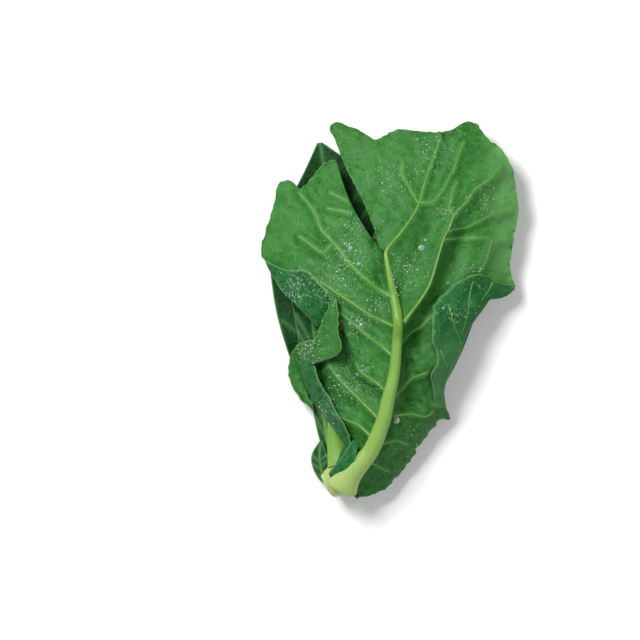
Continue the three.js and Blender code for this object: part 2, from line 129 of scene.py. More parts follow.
# %% [markdown]
# ## The roof
#
# The big front leaf is the roof of the head. Its ridge is the midrib, and it falls away to both margins.
# A height over the plan describes that best: every blade, rib and drop asks the same function how high
# it lies, so they all meet without fitting. Creases are ridges and furrows that follow a line.

# %% Roof of the head
ROOF_START, ROOF_STEP, ROOF_POWER = -140, 40, 1.6
RIDGE_X = [-36, -15, -2, 6, 2, 9, 27, 41]
RIDGE_Z = [29, 46, 53, 57, 56, 50, 38, 27]
REACH = [26, 42, 58, 74, 92, 96, 94, 92]
MARGIN_Z = [21, 19, 18, 18, 18, 20, 22, 22]
# each crease has a line, a rise (or a fall, below zero) and a width
CREASES = [
    ([[9, -9], [29, 20], [40, 53], [47, 71], [64, 90], [83, 107]], 4, 9),
    ([[17, -21], [26, -4], [38, 14], [47, 36], [55, 56]], -8, 8),
    ([[15, -68], [15, -41], [17, -22]], -9, 9),
    ([[11, 11], [21, 36], [32, 64]], -4, 9),
    ([[-8, -50], [-6, -26], [-5, 0], [-8, 25]], -3, 7),
    ([[-11, 50], [-8, 36], [-5, 20]], -4, 4),
    ([[-31, -36], [-22, -58], [-14, -84]], -3, 6),
]


def distance_to_line(x, y, line):
    nearest = np.full(np.shape(x), np.inf)
    for (ax, ay), (bx, by) in zip(line[:-1], line[1:]):
        dx, dy = bx - ax, by - ay
        share = np.clip(((x - ax) * dx + (y - ay) * dy) / (dx * dx + dy * dy), 0, 1)
        nearest = np.minimum(nearest, np.hypot(x - ax - share * dx, y - ay - share * dy))
    return nearest


def roof(x, y):
    t = (np.ravel(y) - ROOF_START) / ROOF_STEP
    rows = [spline(row, t).reshape(np.shape(y)) for row in (RIDGE_X, RIDGE_Z, REACH, MARGIN_Z)]
    ridge_x, ridge_z, reach, margin_z = rows
    height = ridge_z - (ridge_z - margin_z) * (np.abs(x - ridge_x) / reach) ** ROOF_POWER
    for line, rise, width in CREASES:
        height = height + rise * np.exp(-(distance_to_line(x, y, line) / width) ** 2)
    return height


def undulation(x, y, wavelength, seed):
    """Smooth random hills between -1 and 1, made of a few crossing waves."""
    random = np.random.default_rng(seed)
    total = np.zeros(np.shape(x))
    for _ in range(7):
        angle, phase = random.uniform(0, 2 * math.pi, 2)
        length = wavelength * random.uniform(0.7, 1.5)
        total = total + np.sin((x * math.cos(angle) + y * math.sin(angle)) * 2 * math.pi / length + phase)
    return total / 3.5


# %% [markdown]
# ## Ribs of the front leaf
#
# On the underside of a cabbage leaf the ribs stand proud. A thick midrib runs up the leaf, side ribs leave
# it at a slant and end near the margin, and thinner ones branch off those. The larger ones are listed one
# by one, because their course is what makes a leaf look like this one. Each has a radius at its two ends.

# %% Lines of the ribs
MIDRIB = [
    [-36.5, -135.5, 9], [-33, -129, 8.9], [-26.5, -120, 7.7], [-19.5, -112, 6.7], [-14, -105, 6.1],
    [-9, -94, 5.8], [-4, -80, 5.4], [-1, -66, 5.0], [3, -49, 4.5], [5, -30, 4.0], [6, -8, 3.7],
    [4, 6, 3.4], [1, 21, 2.7], [-2, 37, 2.0], [-2.5, 43, 1.6], [1, 49, 1.05], [8, 57, 0.85], [16, 68, 0.75],
    [22, 79, 0.65], [26, 93, 0.55], [31, 108, 0.45], [36, 122, 0.35], [38.5, 131, 0.3],
]
SIDE_RIBS = [
    ([[10, -9], [17, 0], [23, 8], [30, 20], [35, 36], [40, 52], [44, 60], [48, 70], [53, 76], [59, 82],
      [64, 90], [75, 98], [83, 107]], 1.9, 0.4),
    ([[2, 9], [-14, 20], [-29, 34], [-38, 46], [-46, 55], [-51, 61], [-56, 74], [-67, 88]], 1.1, 0.4),
    ([[3, -12], [-14, -4], [-29, 6], [-44, 16], [-58, 26], [-67, 32]], 1.3, 0.5),
    ([[2, -34], [-7, -26], [-20, -16], [-33, -5], [-38, -2]], 1.3, 0.5),
    ([[-3, -60], [-10, -54], [-21, -46], [-24, -40]], 1.0, 0.5),
    ([[-9, -80], [-22, -67], [-37, -52], [-46, -39]], 1.3, 0.5),
    ([[-14, -94], [-23, -86], [-33, -82], [-42, -77]], 1.2, 0.6),
    ([[7, -26], [17, -16], [23, -13], [31, -5], [35, -2]], 1.0, 0.5),
    ([[4, -64], [16, -52], [22, -49], [30, -46]], 0.9, 0.5),
    ([[2, -79], [16, -78], [27, -80], [33, -76]], 1.0, 0.5),
    ([[-8, -101], [1, -98], [7, -98], [14, -101]], 0.8, 0.4),
    ([[-14, -114], [-3, -120], [0, -122]], 0.8, 0.4),
]
FINE_RIBS = [
    [[22, 79], [17, 88], [14, 94], [10, 101], [10, 112]],
    [[23, 80], [33, 81], [40, 90], [46, 101], [49, 106], [52, 116], [56, 126]],
    [[44, 58], [47, 60], [58, 62], [70, 68], [83, 74], [91, 75]],
    [[48.5, 70], [46.5, 73], [45, 77], [48, 90], [50, 95]],
    [[40, 52], [46, 53], [61, 54], [74, 54], [77, 52], [89, 54]],
    [[77, 52], [74, 41], [69, 30]],
    [[-67, 55], [-60, 50], [-50, 43], [-44, 48]],
    [[-44, 88], [-32, 82]],
    [[-46, 76], [-29, 73]],
]
CURL_RIBS = [
    [[44, 4], [46, -4], [49, -13], [52, -20], [54, -27]],
    [[62, 20], [60, 10], [59, 0], [57, -9], [55, -16]],
    [[78, 21], [74, 14], [69, 7]],
    [[38, -30], [41, -38], [44, -44]],
]
rib_samples = np.concatenate(
    [evenly(np.array(MIDRIB)[:, :2], 1.5)]
    + [evenly(line, 1.5) for line, _, _ in SIDE_RIBS]
    + [evenly(line, 1.5) for line in FINE_RIBS]
)
print("side ribs", len(SIDE_RIBS), "fine ribs", len(FINE_RIBS))


def distance_to_ribs(x, y, samples):
    """Distance in plan from each point to the nearest rib."""
    points = np.column_stack([np.ravel(x), np.ravel(y)])
    nearest = np.empty(len(points))
    for start in range(0, len(points), 4000):
        part = points[start:start + 4000]
        gaps = ((part[:, None, :] - samples[None, :, :]) ** 2).sum(axis=2)
        nearest[start:start + 4000] = np.sqrt(gaps.min(axis=1))
    return nearest.reshape(np.shape(x))


# %% [markdown]
# ## Meshes
#
# A leaf is a sheet about half a millimetre thick with two different sides: the underside, paler and
# waxy, and the upper side, deeper green. So each blade is a grid of points that gets two skins and a
# rim between them. The skins are told apart by their material, and a margin that curls over shows the other
# side by itself. Numbers the materials need, such as the nearness of a rib, are stored on the points.

# %% Mesh helpers
BLADE = 0.6
UNDERSIDE, UPPER_SIDE = 0, 1


class Leaf:
    """Collects the points, faces and surface values of one leaf, in drawing millimetres."""

    def __init__(self):
        self.points, self.quads, self.sides = [], [], []
        self.values = {"rib": [], "rim": [], "along": [], "hollow": [], "shade": [], "pale": []}
        self.count = 0

    def add(self, points, quads, side, **values):
        self.points.append(points)
        self.quads.append(quads + self.count)
        self.sides.append(np.full(len(quads), side) if np.isscalar(side) else side)
        for key, kept in self.values.items():
            kept.append(np.broadcast_to(values.get(key, 0.0), len(points)))
        self.count += len(points)

    def add_sheet(self, grid, underside_up, alike=None, **values):
        """Two skins and a rim around a grid of points; where alike is true both skins are the underside."""
        rows, columns = grid.shape[:2]
        normals = np.cross(np.gradient(grid, axis=1), np.gradient(grid, axis=0))
        normals /= np.maximum(np.linalg.norm(normals, axis=2, keepdims=True), 1e-9)
        index = np.arange(rows * columns).reshape(rows, columns)
        corners = index[:-1, :-1], index[:-1, 1:], index[1:, 1:], index[1:, :-1]
        front = np.stack([corner.ravel() for corner in corners], axis=1)
        edge = np.concatenate([index[0, :-1], index[:-1, -1], index[-1, :0:-1], index[:0:-1, 0]])
        step = np.roll(edge, -1)
        total = rows * columns
        rim = np.stack([step, edge, edge + total, step + total], axis=1)
        quads = np.concatenate([front, front[:, ::-1] + total, rim])
        points = np.concatenate([
            (grid + normals * BLADE / 2).reshape(-1, 3),
            (grid - normals * BLADE / 2).reshape(-1, 3),
        ])
        first, second = (UNDERSIDE, UPPER_SIDE) if underside_up else (UPPER_SIDE, UNDERSIDE)
        skins = np.array([first, second])[:, None] * np.ones((2, len(front)), int)
        if alike is not None:
            skins[:, alike[:-1, :-1].ravel()] = UNDERSIDE
        side = np.concatenate([skins[0], skins[1], np.full(len(rim), UNDERSIDE)])
        twice = {key: np.tile(np.ravel(value), 2) for key, value in values.items()}
        self.add(points, quads, side, **twice)
        return normals

    def add_rod(self, path, ups, radii, sides, side, height=1.0, shape=None, wide=None, **values):
        """A closed rod of rings along a path; shape changes the radius around each ring."""
        forward = np.gradient(path, axis=0)
        forward /= np.linalg.norm(forward, axis=1, keepdims=True)
        across = np.cross(forward, ups)
        across /= np.linalg.norm(across, axis=1, keepdims=True)
        ups = np.cross(across, forward)
        angle = np.arange(sides) / sides * 2 * math.pi
        swell = np.ones((len(path), sides)) if shape is None else shape
        out = (radii[:, None] * swell)[..., None]
        spread = np.ones(len(path)) if wide is None else wide
        rings = (path[:, None, :]
                 + out * spread[:, None, None] * np.cos(angle)[None, :, None] * across[:, None, :]
                 + out * height * np.sin(angle)[None, :, None] * ups[:, None, :])
        points = np.concatenate([rings.reshape(-1, 3), path[:1], path[-1:]])
        index = np.arange(len(path) * sides).reshape(len(path), sides)
        turned = np.roll(index, -1, axis=1)
        body = np.stack([index[:-1].ravel(), turned[:-1].ravel(), turned[1:].ravel(),
                         index[1:].ravel()], axis=1)
        start, end = len(path) * sides, len(path) * sides + 1
        first = np.stack([turned[0], index[0], np.full(sides, start), np.full(sides, start)], axis=1)
        last = np.stack([index[-1], turned[-1], np.full(sides, end), np.full(sides, end)], axis=1)
        kept = {}
        for key, value in values.items():
            ringed = value if value.ndim == 2 else np.repeat(value[:, None], sides, axis=1)
            kept[key] = np.concatenate([ringed.ravel(), [ringed[0].mean(), ringed[-1].mean()]])
        self.add(points, np.concatenate([body, first, last]), side, **kept)
        return rings

    def build(self, name, materials):
        """The finished object, in metres in the frame."""
        points = np.concatenate(self.points) * MM
        points += (middle.x, middle.y, low.z)
        quads = np.concatenate(self.quads)
        sides = np.concatenate(self.sides)
        faces = [quad[:3] if quad[2] == quad[3] else quad for quad in quads.tolist()]
        mesh = bpy.data.meshes.new(name)
        mesh.from_pydata(points.tolist(), [], faces)
        for material in materials:
            mesh.materials.append(material)
        mesh.polygons.foreach_set("material_index", sides.astype(np.int32))
        mesh.polygons.foreach_set("use_smooth", np.ones(len(faces), bool))
        for key, kept in self.values.items():
            layer = mesh.attributes.new(key, "FLOAT", "POINT")
            layer.data.foreach_set("value", np.concatenate(kept).astype(np.float32))
        mesh.update()
        piece = bpy.data.objects.new(name, mesh)
        bpy.context.collection.objects.link(piece)
        triangles = sum(len(face) - 2 for face in faces)
        print(name, triangles, "triangles")
        return piece


def upright(path):
    """The up direction at every point of a rod that lies flat."""
    return np.tile([0.0, 0, 1], (len(path), 1))


def finish_piece(piece, slot, *nodes):
    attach(piece, "root")
    if nodes:
        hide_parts(*nodes)


# %% [markdown]
# ## Shader helpers
#
# Every finish is a small tree of shader nodes. Placing nodes takes many lines, so one helper makes a
# node, sets its values and joins its inputs. Effects that several leaves share are node groups.

# %% Shader helpers


def shader_node(tree, kind, inputs=None, **settings):
    made = tree.nodes.new(kind)
    for key, value in settings.items():
        setattr(made, key, value)
    for key, value in (inputs or {}).items():
        socket = made.inputs[key]
        if isinstance(value, bpy.types.NodeSocket):
            tree.links.new(value, socket)
        else:
            socket.default_value = value
    return made


def mixed(tree, share, first, second, blend="MIX"):
    """Colour mix of two colours or sockets."""
    made = shader_node(tree, "ShaderNodeMix", data_type="RGBA", blend_type=blend)
    for position, value in ((0, share), (6, first), (7, second)):
        socket = made.inputs[position]
        if isinstance(value, bpy.types.NodeSocket):
            tree.links.new(value, socket)
        else:
            socket.default_value = (*value, 1) if isinstance(value, tuple) else value
    return made.outputs[2]


def ranged(tree, value, low_in, high_in, low_out=0.0, high_out=1.0):
    inputs = {"Value": value, "From Min": low_in, "From Max": high_in, "To Min": low_out,
              "To Max": high_out}
    return shader_node(tree, "ShaderNodeMapRange", inputs).outputs["Result"]


def maths(tree, operation, first, second=0.0):
    return shader_node(tree, "ShaderNodeMath", {0: first, 1: second}, operation=operation).outputs[0]


def surface_value(tree, name):
    return shader_node(tree, "ShaderNodeAttribute", attribute_name=name).outputs["Fac"]


def new_group(name, inputs, outputs):
    group = bpy.data.node_groups.new(name, "ShaderNodeTree")
    for key, value in inputs.items():
        socket = group.interface.new_socket(key, in_out="INPUT", socket_type="NodeSocketFloat")
        socket.default_value = value
    for key in outputs:
        group.interface.new_socket(key, in_out="OUTPUT", socket_type="NodeSocketFloat")
    return group, group.nodes.new("NodeGroupInput").outputs, group.nodes.new("NodeGroupOutput").inputs


def placed_group(tree, group, **values):
    made = tree.nodes.new("ShaderNodeGroup")
    made.node_tree = group
    for key, value in values.items():
        made.inputs[key.replace("_", " ")].default_value = value
    return made.outputs


# %% [markdown]
# ## Net of fine veins
#
# Between the ribs a leaf has a net of veins that close into small fields. Real veins would need millions
# of faces, and cells do the same: the line between two neighbouring cells is a vein. Two sizes of cell
# are laid over each other, and the coordinates are bent by noise so that no line is straight.

# %% Group for the vein net
METRE_CELLS = 1000
BEND_SCALE, BEND = 130.0, 0.0065


def vein_net_group():
    group, given, result = new_group(
        "vein net", {"Cell size": 9.0, "Line width": 0.05}, ("Line", "Field"))
    place = shader_node(group, "ShaderNodeTexCoord").outputs["Object"]
    bend = shader_node(group, "ShaderNodeTexNoise", {"Vector": place, "Scale": BEND_SCALE, "Detail": 3.0})
    centred = shader_node(group, "ShaderNodeVectorMath", {0: bend.outputs["Color"], 1: (0.5, 0.5, 0.5)},
                          operation="SUBTRACT").outputs[0]
    shift = shader_node(group, "ShaderNodeVectorMath", {0: centred, 3: BEND}, operation="SCALE").outputs[0]
    bent = shader_node(group, "ShaderNodeVectorMath", {0: place, 1: shift}, operation="ADD").outputs[0]
    scale = maths(group, "DIVIDE", METRE_CELLS, given["Cell size"])
    cells = shader_node(group, "ShaderNodeTexVoronoi", {"Vector": bent, "Scale": scale},
                        feature="DISTANCE_TO_EDGE").outputs["Distance"]
    line = shader_node(group, "ShaderNodeMapRange",
                       {"Value": cells, "From Min": 0.0, "From Max": given["Line width"],
                        "To Min": 1.0, "To Max": 0.0}, interpolation_type="SMOOTHSTEP")
    group.links.new(line.outputs["Result"], result["Line"])
    field = ranged(group, cells, 0.0, 0.35)
    group.links.new(field, result["Field"])
    return group


vein_net = vein_net_group()


def patches_group():
    """Soft patches of a given size in millimetres, and their finer grain."""
    group, given, result = new_group("patches", {"Size": 30.0}, ("Patch", "Grain"))
    place = shader_node(group, "ShaderNodeTexCoord").outputs["Object"]
    scale = maths(group, "DIVIDE", METRE_CELLS, given["Size"])
    noise = shader_node(group, "ShaderNodeTexNoise",
                        {"Vector": place, "Scale": scale, "Detail": 5.0, "Roughness": 0.6})
    group.links.new(ranged(group, noise.outputs["Fac"], 0.35, 0.65), result["Patch"])
    grain = shader_node(group, "ShaderNodeTexNoise", {"Vector": place, "Scale": 1400.0, "Detail": 3.0})
    group.links.new(grain.outputs["Fac"], result["Grain"])
    return group


patches = patches_group()
print("groups", vein_net.name, patches.name)

# %% [markdown]
# ## Finish of a leaf
#
# Both sides of every leaf use the same recipe with other values: a green that drifts in patches, a
# greyish bloom of wax, paler veins, a yellow-green glow beside the ribs and a thin pale margin. Painted
# shade darkens the hollows beside the ribs, the folds and the blade where it lies in shade, and a pale
# tint, partly heavier bloom and partly painted light, lifts slopes that face away from the lamps. Bump
# adds the net of veins and the grain that are too fine for the mesh.

# %% Leaf material


# a pale tint for slopes that face away from the lamps: partly heavier wax bloom, partly painted light
BLOOM_AND_LIGHT_TINT = (0.13, 0.34, 0.11)
BUMP_DEPTH, LEAF_SHINE = 0.0009, 0.13


def leaf_material(name, green, deep, bloom, vein, pale=BLOOM_AND_LIGHT_TINT, bloom_share=0.3, net=0.5,
                  roughness=0.5):
    material = bpy.data.materials.new(name)
    material.use_nodes = True
    tree = material.node_tree
    shader = tree.nodes["Principled BSDF"]
    broad = placed_group(tree, patches, Size=38.0)
    middling = placed_group(tree, patches, Size=15.0)
    small = placed_group(tree, patches, Size=7.0)
    coarse_net = placed_group(tree, vein_net, Cell_size=11.0, Line_width=0.05)
    fine_net = placed_group(tree, vein_net, Cell_size=3.2, Line_width=0.11)
    # the coarse net fades out in patches
    fading = ranged(tree, small["Patch"], 0.0, 1.0, 1.0, 0.25)
    coarse_line = maths(tree, "MULTIPLY", coarse_net["Line"], fading)

    # each layer of colour covers the ones before it by its mask times its share
    # the layers of stored shade and of the hollows beside the ribs are painted shade, and the pale layer is
    # partly heavier wax bloom and partly painted light
    layers = [
        (broad["Patch"], 0.55, deep),
        (middling["Patch"], 0.4, deep),
        (surface_value(tree, "shade"), 1.0, deep),
        (small["Patch"], bloom_share, bloom),
        (surface_value(tree, "hollow"), 0.6, deep),
        (surface_value(tree, "pale"), 0.6, pale),
        (coarse_line, net, vein),
        (fine_net["Line"], net * 0.35, vein),
        (surface_value(tree, "rib"), 0.55, vein),
        (surface_value(tree, "rim"), 0.8, vein),
    ]
    colour = green
    for mask, share, layer in layers:
        colour = mixed(tree, maths(tree, "MULTIPLY", mask, share), colour, layer)
    grain = ranged(tree, small["Grain"], 0.3, 0.7, 0.86, 1.14)
    shaded = shader_node(tree, "ShaderNodeHueSaturation", {"Color": colour, "Value": grain})
    tree.links.new(shaded.outputs["Color"], shader.inputs["Base Color"])
    tree.links.new(ranged(tree, small["Patch"], 0.0, 1.0, roughness - 0.08, roughness + 0.1),
                   shader.inputs["Roughness"])

    height = maths(tree, "MULTIPLY", coarse_net["Field"], -0.5)
    height = maths(tree, "ADD", height, maths(tree, "MULTIPLY", fine_net["Field"], -0.22))
    height = maths(tree, "ADD", height, maths(tree, "MULTIPLY", small["Grain"], 0.12))
    bump = shader_node(tree, "ShaderNodeBump", {"Strength": 0.5, "Distance": BUMP_DEPTH, "Height": height})
    tree.links.new(bump.outputs["Normal"], shader.inputs["Normal"])
    shader.inputs["Specular IOR Level"].default_value = LEAF_SHINE
    return material


front_under = leaf_material(
    "front leaf underside", green=(0.03, 0.17, 0.02), deep=(0.004, 0.08, 0.003),
    bloom=(0.062, 0.2, 0.068), vein=(0.1, 0.28, 0.065), bloom_share=0.5, net=0.45)
front_upper = leaf_material(
    "front leaf upper side", pale=(0.05, 0.2, 0.06), green=(0.004, 0.12, 0.014), deep=(0.002, 0.045, 0.008),
    bloom=(0.03, 0.14, 0.055), vein=(0.1, 0.28, 0.09), bloom_share=0.45, net=0.35, roughness=0.42)
# painted shade: the dark leaf finishes are far darker than the front leaf, the deeper green of outer leaves
# darkened further for the shade these leaves lie in under and behind the head
dark_under = leaf_material(
    "dark leaf underside", green=(0.006, 0.06, 0.006), deep=(0.002, 0.025, 0.002),
    bloom=(0.02, 0.085, 0.025), vein=(0.06, 0.2, 0.04), bloom_share=0.35)
dark_upper = leaf_material(
    "dark leaf upper side", green=(0.004, 0.06, 0.01), deep=(0.002, 0.03, 0.005),
    bloom=(0.02, 0.09, 0.035), vein=(0.09, 0.25, 0.08), bloom_share=0.25, net=0.25, roughness=0.42)
young_under = leaf_material(
    "young leaf underside", green=(0.05, 0.21, 0.025), deep=(0.02, 0.11, 0.01),
    bloom=(0.1, 0.25, 0.09), vein=(0.15, 0.33, 0.08), bloom_share=0.3, roughness=0.45)
young_upper = leaf_material(
    "young leaf upper side", green=(0.02, 0.14, 0.014), deep=(0.008, 0.07, 0.006),
    bloom=(0.05, 0.17, 0.05), vein=(0.1, 0.27, 0.06), bloom_share=0.25, roughness=0.42)

# %% [markdown]
# ## Finish of the petioles and ribs
#
# A petiole is firm, juicy and smooth, cream at its foot, yellow-green further up and as green as the
# leaf at its end. Fibres run along it as faint lighter and darker streaks. Where the mesh asks for it,
# its flanks are painted a darker green, most on the right, as painted shade on the side away from the
# lamp. The share of the way from the foot to the tip is stored on the mesh, so the colour follows the
# petiole round its bend.

# %% Rib material


def rib_material(name, foot, lower, upper, tip):
    material = bpy.data.materials.new(name)
    material.use_nodes = True
    tree = material.node_tree
    shader = tree.nodes["Principled BSDF"]
    ramp = shader_node(tree, "ShaderNodeValToRGB", {"Fac": surface_value(tree, "along")}).color_ramp
    ramp.elements[0].color = (*foot, 1)
    ramp.elements[1].color = (*tip, 1)
    for position, colour in ((0.16, lower), (0.55, upper)):
        ramp.elements.new(position).color = (*colour, 1)
    ramp_colour = tree.nodes["Color Ramp"].outputs["Color"]
    place = shader_node(tree, "ShaderNodeTexCoord").outputs["Object"]
    drawn_out = shader_node(tree, "ShaderNodeMapping", {"Vector": place, "Scale": (900, 70, 900)})
    fibres = shader_node(tree, "ShaderNodeTexNoise",
                         {"Vector": drawn_out.outputs["Vector"], "Scale": 1.0, "Detail": 4.0})
    streak = ranged(tree, fibres.outputs["Fac"], 0.3, 0.7)
    patch = placed_group(tree, patches, Size=9.0)
    colour = mixed(tree, maths(tree, "MULTIPLY", streak, 0.4), ramp_colour, upper)
    colour = mixed(tree, maths(tree, "MULTIPLY", patch["Patch"], 0.25), colour, lower)
    # painted shade: the flanks of the petiole, as stored on the mesh, turn towards the darker upper green
    flank_shade = maths(tree, "MULTIPLY", surface_value(tree, "hollow"), 0.85)
    colour = mixed(tree, flank_shade, colour, upper)
    tree.links.new(colour, shader.inputs["Base Color"])
    tree.links.new(ranged(tree, streak, 0.0, 1.0, 0.32, 0.48), shader.inputs["Roughness"])
    height = maths(tree, "ADD", maths(tree, "MULTIPLY", streak, 0.5),
                   maths(tree, "MULTIPLY", patch["Grain"], 0.3))
    bump = shader_node(tree, "ShaderNodeBump", {"Strength": 0.35, "Distance": 0.0006, "Height": height})
    tree.links.new(bump.outputs["Normal"], shader.inputs["Normal"])
    shader.inputs["Specular IOR Level"].default_value = 0.45
    return material


front_rib = rib_material("front leaf rib", foot=(0.42, 0.53, 0.19), lower=(0.235, 0.39, 0.075),
                         upper=(0.105, 0.27, 0.027), tip=(0.095, 0.27, 0.06))
dark_rib = rib_material("dark leaf rib", foot=(0.2, 0.36, 0.07), lower=(0.1, 0.27, 0.035),
                        upper=(0.045, 0.18, 0.02), tip=(0.04, 0.16, 0.025))
young_rib = rib_material("young leaf rib", foot=(0.26, 0.42, 0.09), lower=(0.14, 0.34, 0.035),
                         upper=(0.1, 0.28, 0.03), tip=(0.08, 0.24, 0.03))
print("materials", len(bpy.data.materials))

# %% [markdown]
# ## Front leaf
#
# The blade of the front leaf is lofted over ribs, as a boat is: rails run from the foot to the tip, and a
# rib crosses them from the midrib to the outer edge, turns over there and comes back to the free margin.
# Where the margin lies close to the edge the turn is only a rolled rim, and where it lies far away
# the leaf is folded over and shows its upper side. A split parts the upper lobe from the left side.

# %% Rails of the front leaf
RIGHT_MIDRIB = [
    [-32, -134], [-28, -126], [-20, -113], [-13, -98], [-8, -84], [-5, -77], [-4, -73], [-2, -68],
    [-1, -62], [2, -49], [4, -36], [6, -24], [6, -14], [6, -4], [5, 3], [4, 9], [4, 15], [3, 20],
    [2, 26], [1, 32], [-2, 40], [1, 48], [7, 55], [13, 64], [18, 74], [22, 82], [26, 92], [30, 101],
    [33, 111], [35, 120], [37, 127], [37, 131],
]
RIGHT_EDGE = [
    [-24, -142], [-4, -136], [10, -122], [21, -106], [32, -91], [39, -82], [47, -82], [42, -67],
    [42, -57], [47, -44], [52, -35], [56, -24], [60, -14], [67, -4], [73, 4], [76, 8], [83, 9],
    [89, 11], [94, 15], [96, 18], [92, 30], [93, 46], [96, 62], [98, 75], [96, 90], [93, 106],
    [85, 121], [74, 130], [67, 140], [58, 142], [48, 136], [38, 134],
]
RIGHT_MARGIN = [
    [-24, -140], [-5, -134], [8, -121], [19, -104], [31, -89], [38, -81], [45, -78], [35, -69],
    [33, -60], [31, -48], [36, -38], [32, -22], [32, -9], [33, 3], [40, 12], [50, 20], [61, 26],
    [72, 26], [83, 20], [94, 20], [91, 30], [92, 46], [94, 62], [95, 75], [94, 90], [91, 106],
    [83, 119], [73, 129], [66, 137], [58, 140], [48, 134], [38, 133],
]
LOBE_MIDRIB = [
    [-4, 44], [-1, 47], [4, 52], [9, 58], [14.5, 66], [19, 73], [22, 78], [24, 83], [26, 88], [28, 93],
    [30, 98], [31, 102], [33, 106], [34.5, 111], [36, 116], [38, 121], [39, 126], [40, 130],
]
LOBE_EDGE = [
    [-7, 46], [-10, 56], [-15, 70], [-20, 82], [-26, 94], [-32, 106], [-37, 118], [-41, 129],
    [-45, 137], [-40, 142], [-32, 139], [-24, 136], [-14, 128], [-4, 131], [6, 136], [19, 135],
    [29, 134], [40, 134],
]
LEFT_MIDRIB = [
    [-6, 44], [-3, 33], [-1, 22], [1, 15], [2, 9], [3, 4], [4, -2], [4, -7], [4, -12], [4, -17],
    [4, -22], [4, -28], [3, -34], [2, -40], [1, -46], [0, -52], [-1, -59],
]
LEFT_INNER = [
    [-18, 61], [-25, 61], [-29, 52], [-33, 48], [-35, 45], [-38, 40], [-40, 36], [-42, 32], [-43, 27],
    [-42, 22], [-40, 16], [-37, 9], [-33, 1], [-29, -9], [-26, -20], [-24, -35], [-22, -51],
]
LEFT_OUTER = [
    [-30, 83], [-38, 85], [-47, 76], [-53, 72], [-59, 71], [-67, 68], [-70, 62], [-71, 54], [-73, 46],
    [-70, 39], [-64, 32], [-58, 22], [-52, 13], [-48, 5], [-44, 2], [-36, -11], [-28, -28],
]
LEFT_EDGE = [
    [-40, 114], [-50, 110], [-59, 99], [-67, 92], [-74, 98], [-83, 96], [-87, 80], [-92, 63],
    [-97, 46], [-93, 35], [-87, 25], [-80, 14], [-70, 4], [-62, -4], [-53, -12], [-47, -6], [-40, 3],
]
LEFT_MARGIN = [
    [-38, 112], [-48, 108], [-58, 97], [-66, 91], [-74, 96], [-81, 94], [-85, 79], [-90, 62],
    [-95, 46], [-92, 40], [-84, 33], [-74, 30], [-62, 30], [-53, 22], [-46, 14], [-44, 13], [-41, 9],
]
WING_MIDRIB = [
    [2, -38], [0, -51], [-2, -62], [-4, -71], [-7, -81], [-10, -90], [-14, -98], [-18, -106],
    [-22, -112], [-26, -118], [-31, -123],
]
WING_MIDDLE = [
    [-20, -24], [-26, -44], [-26, -56], [-26, -66], [-26, -76], [-25, -87], [-25, -96], [-26, -104],
    [-28, -111], [-31, -117], [-35, -122],
]
WING_BROW = [
    [-39, -15], [-47, -36], [-46, -49], [-44, -60], [-40, -73], [-36, -82], [-32, -91], [-29, -100],
    [-31, -109], [-34, -115], [-38, -121],
]
WING_DIP = [
    [-44, -24], [-51, -40], [-51, -52], [-49, -62], [-45, -74], [-41, -82], [-36, -90], [-32, -99],
    [-33, -108], [-36, -115], [-40, -121],
]
WING_DIP_LIFT = [-9, -10, -10, -8, -6, -4, -3, -2, -1, -1, 0]
BAND_EDGE = [
    [-68, -39], [-67, -48], [-64, -57], [-58, -66], [-52, -74], [-46, -83], [-40, -91], [-34, -98],
    [-36, -106], [-39, -114], [-44, -121],
]
BAND_MARGIN = [
    [-56, -42], [-53, -51], [-49, -59], [-44, -66], [-40, -75], [-34, -85], [-30, -94], [-28, -104],
    [-28, -112], [-32, -119], [-39, -124],
]
RUFFLE_OUTER = [
    [-42, 11], [-46, 1], [-51, -10], [-55, -21], [-62, -23], [-70, -27], [-74, -35], [-76, -47],
    [-72, -59], [-66, -68], [-58, -74],
]
RUFFLE_INNER = [
    [-40, 9], [-38, -4], [-38, -16], [-36, -30], [-44, -36], [-55, -40], [-64, -44], [-64, -52],
    [-62, -62], [-58, -70], [-56, -75],
]
RUFFLE_LIFT = [8, 9, 9, 9, 8, 6, 5, 4, 3, 2, 0]
RUFFLE_INNER_LIFT = [8, 10, 11, 10, 7, 2, -4, -7, -8, -7, -5]
FOOT_OUTER = [[-27, -97], [-32, -105], [-37, -112], [-42, -118], [-46, -123]]
FOOT_INNER = [[-24, -101], [-25, -109], [-28, -117], [-35, -122], [-43, -126]]
FOOT_LIFT = [2, 4, 5, 5, 4]
FOOT_INNER_LIFT = [3, 7, 8, 8, 5]

# %% Blades of the front leaf
FOLD_GAP, MARGIN_RISE = 4, 2
FOLD_STARTS = (2.5, 8)
TURN_STEPS = 7
POCKET_DEPTH, POCKET_WIDTH = 3.0, 6
RIB_GLOW, RIM_WIDTH = 1.3, 0.8
# each line of painted shade, along a fold or furrow, has a line, a width and a strength
SHADED_LINES = [
    ([[14, -75], [15, -48], [17, -24], [24, -8]], 7, 0.95),
    ([[-16, 66], [-9, 42], [-5, 22]], 4, 0.85),
    ([[-38, -12], [-36, -25], [-27, -36], [-24, -49], [-12, -58]], 3.5, 0.95),
    ([[-54, -40], [-47, -59], [-40, -77], [-36, -85]], 3.5, 0.9),
    ([[-17, -97], [-24, -109]], 3.5, 0.9),
    ([[22, 38], [16, 15], [12, 0]], 4, 0.5),
    ([[40, 44], [31, 22], [22, 2]], 5, 0.75),
    ([[-22, 10], [-10, 2], [-3, -4]], 3, 0.4),
    ([[-44, 32], [-28, 20], [-14, 10]], 3.5, 0.4),
]
detail = 1.0


def pocket(x, y, gap):
    """How far the blade sinks between its ribs."""
    depth = 0.75 + 0.25 * undulation(x, y, 22, 5)
    return POCKET_DEPTH * depth * (1 - np.exp(-(gap / POCKET_WIDTH) ** 2))


